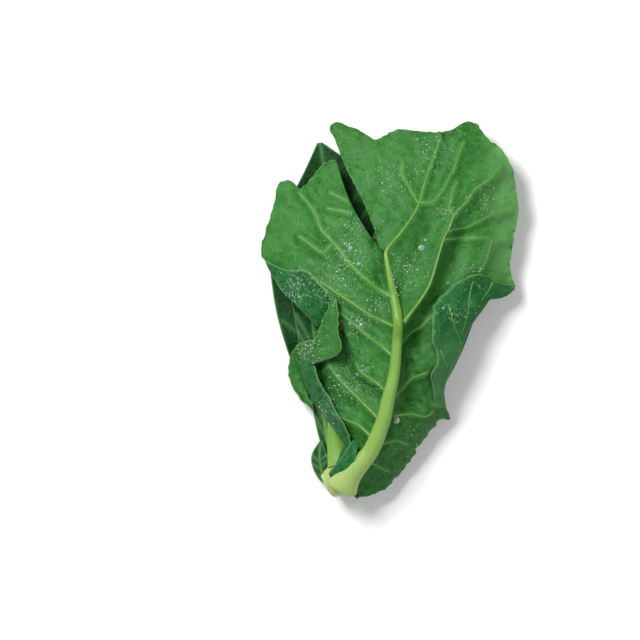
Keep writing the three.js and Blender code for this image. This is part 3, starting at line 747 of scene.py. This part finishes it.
def rail_posts(rails, lifts, rows):
    """Points of every rail at each row, with their lift over the roof."""
    t = np.linspace(0, len(rails[0]) - 1, rows)
    posts = []
    for rail, lift in zip(rails, lifts):
        height = spline(lift, t) if isinstance(lift, list) else np.full(rows, float(lift))
        posts.append(np.column_stack([spline(rail, t), height]))
    return np.stack(posts), t


def tears(x, y):
    """How far a plain margin is torn, more so near the foot."""
    ragged = 0.5 * undulation(x, y, 5, 17) + 0.3 * undulation(x, y, 2, 4)
    return ragged * (1 + 1.2 * smoothstep(-y, 70, 95))


def over_the_edge(edge, free, start, span, radius, folded, back_columns):
    """Plan and lift of a half circle over the edge and of the way back to the free margin."""
    landing = edge + (free - edge) * np.minimum(radius / np.maximum(span, 0.01), 1)
    turns = np.linspace(-math.pi / 2, math.pi / 2, TURN_STEPS)[1:-1]
    swing = (turns / math.pi + 0.5)[None, :, None]
    centre = start * (1 - swing) + landing[:, None, :] * swing
    turned = centre + (edge[:, None, :] - centre) * np.cos(turns)[None, :, None]
    home = np.linspace(0, 1, back_columns)
    returned = landing[:, None, :] + (free - landing)[:, None, :] * home[None, :, None]
    turned_lift = radius * (1 + np.sin(turns)[None, :])
    returned_lift = 2 * radius + MARGIN_RISE * (2 * radius / FOLD_GAP) * home[None, :] ** 2
    over = np.concatenate([turned, returned], axis=1)
    lift = np.concatenate([turned_lift, returned_lift], axis=1)
    # where there is no fold the same points run straight on to the edge
    onward = np.linspace(0, 1, over.shape[1] + 1)[1:]
    plain = start + (edge[:, None, :] - start) * onward[None, :, None]
    return plain + (over - plain) * folded[:, :, None], lift * folded


def blade_height(x, y, gap, edge_gap, plain, ripple, pockets):
    """Height of a blade on the roof: sunk between its ribs, wavy and frilled at its edge."""
    wave = ripple * np.exp(-(edge_gap / 12) ** 2) * undulation(x, y, 22, 11)
    frill = 0.9 * ripple * np.exp(-(edge_gap / 4) ** 2) * undulation(x, y, 9, 29) * plain
    puckers = 0.55 * undulation(x, y, 10, 3) + 0.22 * undulation(x, y, 5, 6)
    sunk = pockets * pocket(x, y, gap)
    return roof(x, y) - sunk + wave + frill + puckers * (1 - np.exp(-(gap / 3) ** 2))


def blade_values(x, y, gap, free_gap, folded, past_edge, shade):
    """What the leaf finishes need to know about each point of a blade."""
    # painted shade: darker towards the foot, partly the deeper green the leaf has there, and along the
    # lines of folds and furrows
    darkness = shade * smoothstep(-y, -5, 55) * (0.8 + 0.2 * undulation(x, y, 30, 2))
    uneven = 0.85 + 0.15 * undulation(x, y, 12, 33)
    for line, width, strength in SHADED_LINES:
        darkness = darkness + strength * uneven * np.exp(-(distance_to_line(x, y, line) / width) ** 2)
    # painted shadow that the folded-over margin casts on the blade beside it, on the lower part of the leaf
    curl_shadow = np.exp(-(free_gap / 4) ** 2) * folded * ~past_edge * smoothstep(-y, -8, 12)
    # painted light, partly heavier wax bloom: the right margin and the low part of the right curl turn
    # paler where they face away from the lamps
    right_margin = smoothstep(x, 66, 92) * smoothstep(y, 5, 30)
    right_curl = smoothstep(-y, 8, 34) * smoothstep(x, 28, 36) * (folded > 0.5)
    return {
        "rib": np.exp(-(gap / RIB_GLOW) ** 2),
        "rim": np.exp(-(free_gap / RIM_WIDTH) ** 2) * past_edge,
        # painted shade in the hollows just beside each rib, uneven along the blade
        "hollow": np.exp(-((gap - 3.2) / 2) ** 2) * (0.6 + 0.4 * undulation(x, y, 25, 9)),
        "shade": np.clip(darkness + 0.9 * curl_shadow, 0, 1),
        "pale": np.clip(right_margin + right_curl, 0, 1),
    }


def blade_grid(rails, lifts, margin, rows, columns, back_columns, ripple, shade, pockets):
    """Grid of a blade whose edge is folded over where the free margin lies well inside it."""
    rows, columns = int(rows * detail), int(columns * detail)
    posts, t = rail_posts(rails, lifts, rows)
    # the edge stays a part of the posts, so drawing it in draws in the blade
    edge, free = posts[-1, :, :2], spline(margin, t)
    span = np.linalg.norm(free - edge, axis=1, keepdims=True)
    folded = smoothstep(span, *FOLD_STARTS)
    inward = along(posts, [0.8])[0][:, :2] - edge
    inward /= np.linalg.norm(inward, axis=1, keepdims=True)
    torn = tears(edge[:, :1], edge[:, 1:])
    edge += inward * (0.4 + torn) * (1 - folded)
    free = edge + (free - edge) * (1 + 0.04 * torn)
    radius = np.minimum(FOLD_GAP, 0.6 * span) / 2
    shares = np.linspace(0, 1, columns)
    flat = along(posts, shares).transpose(1, 0, 2)
    flat[..., :2] += (inward * radius)[:, None, :] * smoothstep(shares, 0.75, 1.0)[None, :, None]
    over, over_lift = over_the_edge(edge, free, flat[:, -1:, :2], span, radius, folded, back_columns)
    plan = np.concatenate([flat[..., :2], over], axis=1)
    lift = np.concatenate([flat[..., 2], posts[-1, :, 2:] + over_lift], axis=1)
    x, y = plan[..., 0], plan[..., 1]
    gap = distance_to_ribs(x, y, rib_samples)
    edge_gap = np.linalg.norm(plan - edge[:, None, :], axis=2)
    free_gap = np.linalg.norm(plan - plan[:, -1:], axis=2)
    z = lift + blade_height(x, y, gap, edge_gap, 1 - folded, ripple, pockets)
    past_edge = (np.arange(x.shape[1]) >= columns)[None, :]
    values = blade_values(x, y, gap, free_gap, folded, past_edge, shade)
    alike = np.broadcast_to(folded < 0.5, x.shape)
    return np.stack([x, y, z], axis=2), columns, alike, values


def grid_tree(grid):
    """A tree that finds where a vertical line meets a grid."""
    rows, columns = grid.shape[:2]
    index = np.arange(rows * columns).reshape(rows, columns)
    quads = np.stack([index[:-1, :-1], index[:-1, 1:], index[1:, 1:], index[1:, :-1]], axis=-1)
    return BVHTree.FromPolygons(grid.reshape(-1, 3).tolist(), quads.reshape(-1, 4).tolist())


leaf = Leaf()
surfaces = []
curls = []
LOBE_HEM, LOBE_HEM_DROP = 0.04, 1.5
# rails, lifts, free margin, rows, columns, columns past the edge, ripple, shade, depth of the pockets
BLADES = {
    "right": ([RIGHT_MIDRIB, RIGHT_EDGE], [0, 0], RIGHT_MARGIN, 262, 48, 12, 1.2, 0.75, 1.1),
    "lobe": ([LOBE_MIDRIB, LOBE_EDGE], [-0.3, 2], None, 112, 38, 3, 1.2, 0, 0.6),
    "left": ([LEFT_MIDRIB, LEFT_INNER, LEFT_OUTER, LEFT_EDGE], [0, 1.5, 2, 0],
             LEFT_MARGIN, 144, 60, 11, 1.0, 0, 1.1),
    "wing": ([WING_MIDRIB, WING_MIDDLE, WING_BROW, WING_DIP, BAND_EDGE],
             [0, -2, -3, WING_DIP_LIFT, 0], BAND_MARGIN, 86, 46, 9, 0.3, 0.15, 2.0),
}
lobe_margin = [[x + LOBE_HEM * (midrib_x - x), y - LOBE_HEM_DROP]
               for (x, y), (midrib_x, _) in zip(LOBE_EDGE, LOBE_MIDRIB)]
for name, (rails, lifts, margin, *steps) in BLADES.items():
    grid, flat_columns, alike, values = blade_grid(rails, lifts, margin or lobe_margin, *steps)
    flat_part = grid[:, :flat_columns]
    facing = np.cross(np.gradient(flat_part, axis=1), np.gradient(flat_part, axis=0))[..., 2].mean()
    leaf.add_sheet(grid, facing > 0, alike, **values)
    surfaces.append(grid_tree(flat_part))
    curls.append(grid_tree(grid[:, flat_columns:]))


STRIP_COLUMNS = 18


def strip_grid(outer_rail, inner_rail, outer_lift, inner_lift, sag, rows):
    """Grid of a narrow loose strip between two rails."""
    rows = int(rows * detail)
    t = np.linspace(0, len(outer_rail) - 1, rows)
    outer = np.column_stack([spline(outer_rail, t), spline(outer_lift, t)])
    inner = np.column_stack([spline(inner_rail, t), spline(inner_lift, t)])
    belly = (outer + inner) / 2 - (0, 0, sag)
    across = along(np.stack([outer, belly, inner]), np.linspace(0, 1, STRIP_COLUMNS)).transpose(1, 0, 2)
    x, y = across[..., 0], across[..., 1]
    across[..., 0] += 0.5 * undulation(x, y, 7, 12)
    height = roof(x, y) + across[..., 2] + 0.5 * undulation(x, y, 8, 8)
    grid = np.stack([x, y, height], axis=2)
    side = np.linspace(0, np.linalg.norm(outer[:, :2] - inner[:, :2], axis=1), STRIP_COLUMNS).T
    far = side[:, -1:] - side
    rim = np.exp(-(np.minimum(side, far) / 0.6) ** 2)
    # painted shade, uneven along the strip
    return grid, {"rim": rim, "hollow": 0.2 + 0.3 * undulation(x, y, 14, 1)}


# outer and inner rail, their lifts, sag, rows, and whether the underside is up
STRIPS = [
    (RUFFLE_OUTER, RUFFLE_INNER, RUFFLE_LIFT, RUFFLE_INNER_LIFT, 1, 90, True),
    (FOOT_OUTER, FOOT_INNER, FOOT_LIFT, FOOT_INNER_LIFT, -1, 44, False),
]
for *strip, underside in STRIPS:
    grid, values = strip_grid(*strip)
    facing = np.cross(np.gradient(grid, axis=1), np.gradient(grid, axis=0))[..., 2].mean()
    leaf.add_sheet(grid, (facing > 0) == underside, **values)
    curls.append(grid_tree(grid))

# %% [markdown]
# ## Ribs on the front leaf
#
# Each rib is a rod half sunk in the blade. Its points come from the plan, and a vertical line from each
# of them finds the height of the blade there. The rod is thickest where it leaves the midrib.

# %% Rods of the ribs
TOP = 200


def laid_on(trees, plan):
    """Points and normals where vertical lines through plan points meet the highest of the surfaces."""
    points, ups = [], []
    for x, y in plan:
        best = None
        for tree in trees:
            spot, normal, _, _ = tree.ray_cast(Vector((x, y, TOP)), Vector((0, 0, -1)))
            if spot is not None and (best is None or spot.z > best[0].z):
                best = spot, normal
        if best is None:
            continue
        spot, normal = best
        points.append(spot[:])
        ups.append((normal if normal.z > 0 else -normal)[:])
    return np.array(points), np.array(ups)


def smoothed(values, passes):
    for _ in range(passes):
        values = values.copy()
        values[1:-1] = (values[:-2] + 2 * values[1:-1] + values[2:]) / 4
    return values


RIB_SIDES, RIB_STEP, RIB_FLATNESS, RIB_SLIMNESS = 7, 0.9, 0.75, 0.82
RIB_END = (0.9, 0.7, 0.3)


def lay_rib(line, thick, thin, trees, side, foot):
    plan = evenly(line, RIB_STEP / detail)
    path, ups = laid_on(trees, plan)
    if len(path) < 4:
        return
    path, ups = smoothed(path, 2), smoothed(ups, 6)
    share = np.linspace(0, 1, len(path))
    radii = RIB_SLIMNESS * (thick + (thin - thick) * share ** 0.6)
    radii[-3:] *= RIB_END
    flare = 1 + 0.6 * np.exp(-share * len(path) / 4)
    path = path + ups * (BLADE / 2 + 0.25 * radii[:, None])
    leaf.add_rod(path, ups, radii * flare, RIB_SIDES, side, RIB_FLATNESS,
                 along=foot + (0.95 - foot) * share)


RIB = 2
right_curl = curls[0]
for line, thick, thin in SIDE_RIBS:
    lay_rib(line, thick, thin, surfaces, RIB, 0.5)
for line in FINE_RIBS:
    lay_rib(line, 0.6, 0.3, surfaces, RIB, 0.8)
for line in CURL_RIBS:
    lay_rib(line, 0.55, 0.25, [right_curl], RIB, 0.9)

# %% Midrib and petiole
MIDRIB_RISE, MIDRIB_FLATNESS = 0.45, 0.85
MIDRIB_SIDES = 28
path = evenly(MIDRIB, 1.0 / detail)
radii = path[:, 2]
crown = roof(path[:, 0], path[:, 1]) + MIDRIB_RISE * radii
path = np.column_stack([path[:, 0], path[:, 1], smoothed(crown, 10)])
share = np.linspace(0, 1, len(path))
# the foot is rounded off over its first few millimetres
foot = np.clip(np.arange(len(path)) / (3 * detail), 0, 1)
wide = 1 + 0.3 * np.exp(-(np.arange(len(path)) / (10 * detail)) ** 2)
radii = radii * np.sqrt(np.clip(1 - (1 - foot) ** 2, 0.03, 1))
angle = np.arange(MIDRIB_SIDES) / MIDRIB_SIDES * 2 * math.pi
twist = share[:, None]
ridges = 1 + 0.018 * np.cos(9 * angle + 4 * twist) + 0.012 * np.cos(17 * angle - 6 * twist)
# painted shade on both flanks of the petiole, stronger on the right, away from the key lamp
shaded_flanks = np.maximum(np.cos(angle), -0.55 * np.cos(angle)) * smoothstep(twist, 0.1, 0.4)
petiole = leaf.add_rod(path, upright(path), radii, MIDRIB_SIDES, RIB, MIDRIB_FLATNESS, ridges, wide,
                       along=share, hollow=shaded_flanks)
petiole_tree = grid_tree(petiole)
front = leaf.build("front_leaf_blade", [front_under, front_upper, front_rib])
finish_piece(front, "front_leaf", "front_leaf")

# %% [markdown]
# ## Leaves under the front leaf
#
# The other leaves lie between the front leaf and the table. Each is drawn in plan by its spine and its
# half widths, and its height is a share of the room under the roof, so leaves of different shares lie
# over each other and meet only at the stem. Side ribs leave the spine in pairs and bend towards the tip.

# %% Under leaves
CLEARANCE, FLOOR_CLEARANCE = 5, 1
UNDER_LEAVES = {
    "back_leaf": dict(
        spine=[[-36, -122], [-33, -96], [-34, -60], [-36, -20], [-40, 20], [-43, 60], [-47, 98],
               [-52, 127]],
        left=[4, 13, 31, 43, 48, 46, 22, 2], right=[4, 10, 20, 28, 36, 42, 28, 2],
        share=[0.27, 0.07, 0.02, 0.02, 0.03, 0.06, 0.16, 0.24],
        rib=4.2, rib_side=-1, waves=5, cup=4, slot="dark_leaf"),
    "right_leaf": dict(
        spine=[[-27, -121], [-6, -92], [10, -60], [22, -24], [32, 14], [40, 50], [46, 84], [50, 112]],
        left=[4, 8, 14, 22, 30, 34, 28, 3], right=[4, 15, 26, 34, 38, 40, 30, 3],
        share=[0.34, 0.08, 0.03, 0.03, 0.04, 0.05, 0.08, 0.14],
        rib=4, rib_side=-1, waves=5, cup=6, slot="dark_leaf"),
    "left_leaf": dict(
        spine=[[-41, -116], [-46, -94], [-50, -66], [-54, -34], [-58, 0], [-60, 32], [-62, 62], [-64, 84]],
        left=[5, 7, 9, 12, 14, 18, 14, 2], right=[3, 8, 20, 26, 30, 30, 24, 2],
        share=[0.42, 0.33, 0.34, 0.36, 0.36, 0.36, 0.36, 0.34],
        rib=3.2, rib_side=-1, waves=5, cup=2, slot="dark_leaf"),
    "heart_leaf_outer": dict(
        spine=[[-16, -98], [-8, -78], [-2, -52], [4, -20], [8, 12], [12, 42], [16, 66], [18, 84]],
        left=[3, 7, 14, 22, 28, 28, 20, 2], right=[3, 8, 20, 30, 36, 36, 24, 2],
        share=[0.45, 0.44, 0.42, 0.42, 0.44, 0.46, 0.5, 0.54],
        rib=3.4, rib_side=-1, waves=5, cup=3, slot="heart_leaf"),
    "heart_leaf_inner": dict(
        spine=[[-22, -100], [-14, -78], [-10, -54], [-8, -26], [-8, 2], [-8, 26], [-9, 42], [-9, 50]],
        left=[3, 6, 12, 18, 22, 22, 16, 2], right=[3, 6, 12, 18, 22, 22, 16, 2],
        share=[0.62, 0.62, 0.61, 0.61, 0.62, 0.63, 0.64, 0.65],
        rib=2.8, rib_side=1, waves=5, cup=0, slot="heart_leaf"),
    "inner_leaf": dict(
        spine=[[-36, -116], [-39.5, -101], [-41, -80], [-34, -52], [-24, -22], [-12, 12], [0, 42], [6, 66]],
        left=[4, 4.5, 5, 8, 14, 20, 20, 2], right=[4, 4.5, 8, 16, 24, 28, 24, 2],
        share=[0.7, 0.72, 0.76, 0.78, 0.8, 0.8, 0.8, 0.8],
        rib=5.5, rib_side=1, waves=5, cup=0, slot="heart_leaf", flat_foot=0.9),
    "base_leaf": dict(
        spine=[[-45, -131], [-49, -126], [-51, -119], [-52, -110], [-51, -99]],
        left=[2, 4, 6, 6, 1], right=[3, 6, 7, 6, 1],
        share=[0.4, 0.56, 0.6, 0.6, 0.56],
        rib=1.6, rib_side=-1, waves=1, cup=0, slot="dark_leaf"),
}
FINISHES = {
    "dark_leaf": [dark_under, dark_upper, dark_rib],
    "heart_leaf": [young_under, young_upper, young_rib],
}
LEAF_ROWS, LEAF_COLUMNS = 150, 71
RIB_PAIRS, BASE_LEAF_PAIRS = 8, 4
BULGE, BULGE_WIDTH = 1.2, 6


def leaf_height(x, y, level):
    return FLOOR_CLEARANCE + level * np.maximum(roof(x, y) - CLEARANCE - FLOOR_CLEARANCE, 4)


def half_width(shape, u, v):
    """Half width of a leaf on the side that v is on."""
    return np.where(v[None, :] < 0, along(shape["left"], u)[:, None], along(shape["right"], u)[:, None])


def under_grid(shape, rows, columns):
    """Plan and height of a leaf before its ribs sink it."""
    u = np.linspace(0, 1, rows)
    spine = along(shape["spine"], u)
    ahead = along(shape["spine"], np.minimum(u + 0.02, 1)) - along(shape["spine"], np.maximum(u - 0.02, 0))
    ahead /= np.linalg.norm(ahead, axis=1, keepdims=True)
    across = np.column_stack([ahead[:, 1], -ahead[:, 0]])
    v = np.linspace(-1, 1, columns)
    reach = half_width(shape, u, v) * v
    x = spine[:, None, 0] + across[:, None, 0] * reach
    y = spine[:, None, 1] + across[:, None, 1] * reach
    wave = 1.5 * np.sin(2 * math.pi * shape["waves"] * u[:, None] + np.where(v < 0, 0, 2)[None, :])
    rise = (shape["cup"] + wave) * v[None, :] ** 2 * (smoothstep(u, 0.2, 0.5) * (1 - u ** 4))[:, None]
    z = leaf_height(x, y, along(shape["share"], u)[:, None]) + rise
    return np.stack([x, y, np.maximum(z, FLOOR_CLEARANCE)], axis=2), u, v


def on_grid(grid, u, v):
    """Points of a grid at shares u along it and v across it."""
    row, column = u * (grid.shape[0] - 1), (v + 1) / 2 * (grid.shape[1] - 1)
    i = np.clip(row.astype(int), 0, grid.shape[0] - 2)
    j = np.clip(column.astype(int), 0, grid.shape[1] - 2)
    a, b = (row - i)[:, None], (column - j)[:, None]
    return ((grid[i, j] * (1 - a) + grid[i + 1, j] * a) * (1 - b)
            + (grid[i, j + 1] * (1 - a) + grid[i + 1, j + 1] * a) * b)


def side_rib_shares(count, seed):
    """Where pairs of side ribs leave the spine, and the shares they pass through."""
    random = np.random.default_rng(seed)
    lines = []
    for side in (-1, 1):
        for k in range(count):
            leave = 0.12 + 0.7 * (k + random.uniform(-0.2, 0.2) + (0.25 if side > 0 else 0)) / count
            v = np.linspace(0, random.uniform(0.82, 0.93), 40)
            u = leave + 0.13 * v ** 1.4
            lines.append((np.clip(u, 0, 0.97), side * v))
    return lines


def under_leaf(name, shape, seed):
    made = Leaf()
    rows, columns = int(LEAF_ROWS * detail), LEAF_COLUMNS
    grid, u, v = under_grid(shape, rows, columns)
    lines = side_rib_shares(BASE_LEAF_PAIRS if name == "base_leaf" else RIB_PAIRS, seed)
    tracks = [on_grid(grid, *line) for line in lines]
    spine_track = on_grid(grid, u, 0 * u)
    samples = np.concatenate([track[:, :2] for track in tracks] + [spine_track[:, :2]])
    gap = distance_to_ribs(grid[..., 0], grid[..., 1], samples)
    bulge = 1 - np.exp(-(gap / BULGE_WIDTH) ** 2)
    grid[..., 2] += -shape["rib_side"] * BULGE * bulge * smoothstep(u, 0.1, 0.3)[:, None]
    grid[..., 2] = np.maximum(grid[..., 2], 0.5)
    margin_gap = (1 - np.abs(v))[None, :] * half_width(shape, u, v)
    # painted shade darkens the fields between the ribs
    made.add_sheet(grid, shape["rib_side"] > 0, rib=np.exp(-(gap / RIB_GLOW) ** 2),
                   rim=np.exp(-(margin_gap / RIM_WIDTH) ** 2), hollow=bulge)
    side = shape["rib_side"]
    for line_u, line_v in lines:
        path = smoothed(on_grid(grid, line_u, line_v), 3) + (0, 0, 0.2 * side)
        share = np.linspace(0, 1, len(path))
        radii = (0.25 + 0.85 * (1 - share) ** 0.8) * shape["rib"] / 4
        made.add_rod(path, upright(path), radii, 6, RIB, 0.8, along=0.5 + 0.45 * share)
    keep = int(0.9 * rows)
    radii = shape["rib"] + (0.7 - shape["rib"]) * u[:keep] ** 0.7
    path = np.column_stack([spine_track[:keep, :2], leaf_height(
        spine_track[:keep, 0], spine_track[:keep, 1], along(shape["share"], u[:keep]))])
    path[:, 2] = np.maximum(path[:, 2] + side * MIDRIB_RISE * radii, 0.9 * radii + 0.1)
    wide = 1 + shape.get("flat_foot", 0) * np.exp(-(u[:keep] / 0.22) ** 2)
    made.add_rod(path, upright(path), radii, 18, RIB, MIDRIB_FLATNESS, None, wide, along=u[:keep])
    piece = made.build(name + "_blade", FINISHES[shape["slot"]])
    finish_piece(piece, shape["slot"], name)
    return piece


for seed, (name, shape) in enumerate(UNDER_LEAVES.items()):
    under_leaf(name, shape, seed + 20)

# %% [markdown]
# ## Stem
#
# The stem is cut off just below the leaves. It is pale and woody, a little swollen where leaves were
# pulled off, and its cut face is flat.

# %% Stem
STEM = [[-46, -133, 18, 8.2], [-44.5, -132, 18.3, 10.2], [-40, -128, 19.3, 11.2], [-32, -117, 20, 9.6],
        [-25, -106, 19, 7], [-18, -98, 20, 5]]
stem_material = rib_material("cut stem", foot=(0.46, 0.54, 0.24), lower=(0.36, 0.47, 0.15),
                             upper=(0.3, 0.43, 0.12), tip=(0.24, 0.38, 0.09))


STEM_SIDES, STEM_STEP = 40, 0.6


def stem():
    made = Leaf()
    path = evenly(STEM, STEM_STEP)
    share = np.linspace(0, 1, len(path))
    angle = np.arange(STEM_SIDES) / STEM_SIDES * 2 * math.pi
    twist = share[:, None]
    scars = 1 + 0.03 * np.sin(3 * angle + 11 * twist) + 0.02 * np.sin(7 * angle + 30 * twist)
    made.add_rod(path[:, :3], upright(path), path[:, 3], STEM_SIDES, 0, 1.0, scars, along=share)
    piece = made.build("stem_cut", [stem_material])
    finish_piece(piece, "cut_stem", "stem")


stem()

# %% [markdown]
# ## Water drops
#
# Fine drops stand on the waxy leaf, thick in some places and thin in others, with a few large ones. Each is
# a cap of a ball set on the leaf along its normal. They are one mesh, with fewer faces on the small ones.
# Their whitish green colour is a painted highlight that stands in for the glints of clear water.

# %% Drops
# place, spread and crowding of each patch of drops, then place and radius of each large drop
DROP_CLUSTERS = [
    (34, 120, 16, 5), (2, 94, 14, 4), (72, 84, 12, 3), (42, 74, 9, 3), (11, 28, 13, 6), (-29, 56, 16, 5),
    (-70, 17, 13, 10), (-60, -28, 12, 8), (-29, -56, 17, 7), (-22, -8, 14, 6), (-33, 30, 18, 6),
    (-7, 8, 10, 4), (-50, -76, 10, 5), (50, -2, 10, 3), (20, -95, 16, 1), (-44, 14, 12, 5), (60, 30, 12, 2),
]
LARGE_DROPS = [
    (24, 46, 2.6), (5, -82, 2.5), (-29, 46, 1.8), (-23, 34, 1.4), (-21, -11, 1.6), (44, 20, 1.3),
    (40, 1, 1.2), (-5, 95, 1.0), (-12, 60, 1.0), (27, 52, 1.1), (21, 30, 1.0),
]
DROP_COUNT = 3300
LARGE_RADIUS = 0.9
LARGE_CAP, SMALL_CAP = (10, 28), (3, 7)


def drop_material():
    material = bpy.data.materials.new("water")
    material.use_nodes = True
    tree = material.node_tree
    shader = tree.nodes["Principled BSDF"]
    # painted highlight and reflection: a whitish green in patches, more opaque and so whiter towards the
    # rim, stands in for the glints of clear water
    cloud = placed_group(tree, patches, Size=4.0)
    tree.links.new(mixed(tree, cloud["Patch"], (0.4, 0.66, 0.42), (0.85, 0.95, 0.85)),
                   shader.inputs["Base Color"])
    shader.inputs["Roughness"].default_value = 0.08
    rim = shader_node(tree, "ShaderNodeLayerWeight", {"Blend": 0.45}).outputs["Facing"]
    tree.links.new(ranged(tree, rim, 0.1, 0.9, 0.28, 0.9), shader.inputs["Alpha"])
    shader.inputs["Coat Weight"].default_value = 1.0
    shader.inputs["Coat Roughness"].default_value = 0.04
    shader.inputs["Coat IOR"].default_value = 1.9
    return material


def drop_places():
    random = np.random.default_rng(41)
    weights = np.array([cluster[3] * cluster[2] for cluster in DROP_CLUSTERS], float)
    chosen = random.choice(len(DROP_CLUSTERS), DROP_COUNT, p=weights / weights.sum())
    clusters = np.array(DROP_CLUSTERS)[chosen]
    plan = clusters[:, :2] + random.normal(size=(DROP_COUNT, 2)) * clusters[:, 2:3] * 0.6
    radii = 0.26 + 0.5 * random.random(DROP_COUNT) ** 5
    large = np.array(LARGE_DROPS)
    return np.concatenate([plan, large[:, :2]]), np.concatenate([radii, large[:, 2]])


def cap(rings, sides):
    """Points and faces of a flattened ball, sunk a little at its foot."""
    tilt = np.linspace(0.0, 0.62 * math.pi, rings + 1)[1:]
    turn = np.arange(sides) / sides * 2 * math.pi
    ring = np.stack([np.outer(np.sin(tilt), np.cos(turn)), np.outer(np.sin(tilt), np.sin(turn)),
                     np.outer(np.cos(tilt), np.ones(sides)) * 0.8 + 0.15], axis=2).reshape(-1, 3)
    points = np.concatenate([ring, [[0, 0, 0.95], [0, 0, ring[-1, 2]]]])
    index = np.arange(rings * sides).reshape(rings, sides)
    turned = np.roll(index, -1, axis=1)
    body = np.stack([index[1:].ravel(), turned[1:].ravel(), turned[:-1].ravel(),
                     index[:-1].ravel()], axis=1)
    crown = np.full(sides, rings * sides)
    top = np.stack([index[0], turned[0], crown, crown], axis=1)
    base = np.stack([turned[-1], index[-1], crown + 1, crown + 1], axis=1)
    return points, np.concatenate([body, top, base])


def drops():
    made = Leaf()
    plan, radii = drop_places()
    trees = surfaces + curls + [petiole_tree]
    for (x, y), radius in zip(plan, radii):
        spot, up = laid_on(trees, [(x, y)])
        if len(spot) == 0:
            continue
        spot, up = spot[0], up[0] / np.linalg.norm(up[0])
        side = np.cross(up, (1.0, 0, 0))
        side /= np.linalg.norm(side)
        turn = np.stack([side, np.cross(up, side), up])
        points, faces = cap(*(LARGE_CAP if radius > LARGE_RADIUS else SMALL_CAP))
        made.add(points * radius @ turn + spot + up * BLADE / 2, faces, 0)
    piece = made.build("water_drops", [drop_material()])
    finish_piece(piece, "front_leaf")


drops()

# %% [markdown]
# ## Table and light
#
# A plain pale table and soft studio light: a wide lamp from the upper left models the folds, a weaker
# one from the right opens the shadows, and a bright even sky keeps the table white.

# %% Floor and lamps
floor_mesh = bpy.data.meshes.new("floor")
reach = 12 * head_length
floor_mesh.from_pydata(
    [(-reach, -reach, low.z), (reach, -reach, low.z), (reach, reach, low.z), (-reach, reach, low.z)],
    [], [(0, 1, 2, 3)])
floor_material = bpy.data.materials.new("pale table")
floor_material.use_nodes = True
floor_shader = floor_material.node_tree.nodes["Principled BSDF"]
floor_shader.inputs["Base Color"].default_value = (0.97, 0.97, 0.97, 1)
floor_shader.inputs["Roughness"].default_value = 0.9
floor_mesh.materials.append(floor_material)
floor = bpy.data.objects.new("floor", floor_mesh)
bpy.context.collection.objects.link(floor)

LAMPS = {
    "key": ((-2.2, 2.2, 4.1), 2.0, 25.0),
    "fill": ((2.6, -1.0, 4.4), 3.4, 7.0),
}
for name, (place, size, power) in LAMPS.items():
    lamp_data = bpy.data.lights.new(name, "AREA")
    lamp_data.size = size * head_length
    lamp_data.energy = power
    lamp = bpy.data.objects.new(name, lamp_data)
    lamp.location = middle + Vector(place) * head_length
    lamp.rotation_euler = (middle - lamp.location).to_track_quat("-Z", "Y").to_euler()
    bpy.context.collection.objects.link(lamp)
world = bpy.data.worlds.new("studio")
world.use_nodes = True
world.node_tree.nodes["Background"].inputs["Color"].default_value = (1, 1, 1, 1)
world.node_tree.nodes["Background"].inputs["Strength"].default_value = 0.25
bpy.context.scene.world = world
bpy.context.scene.view_settings.view_transform = "Standard"
print("lamps", len(LAMPS))
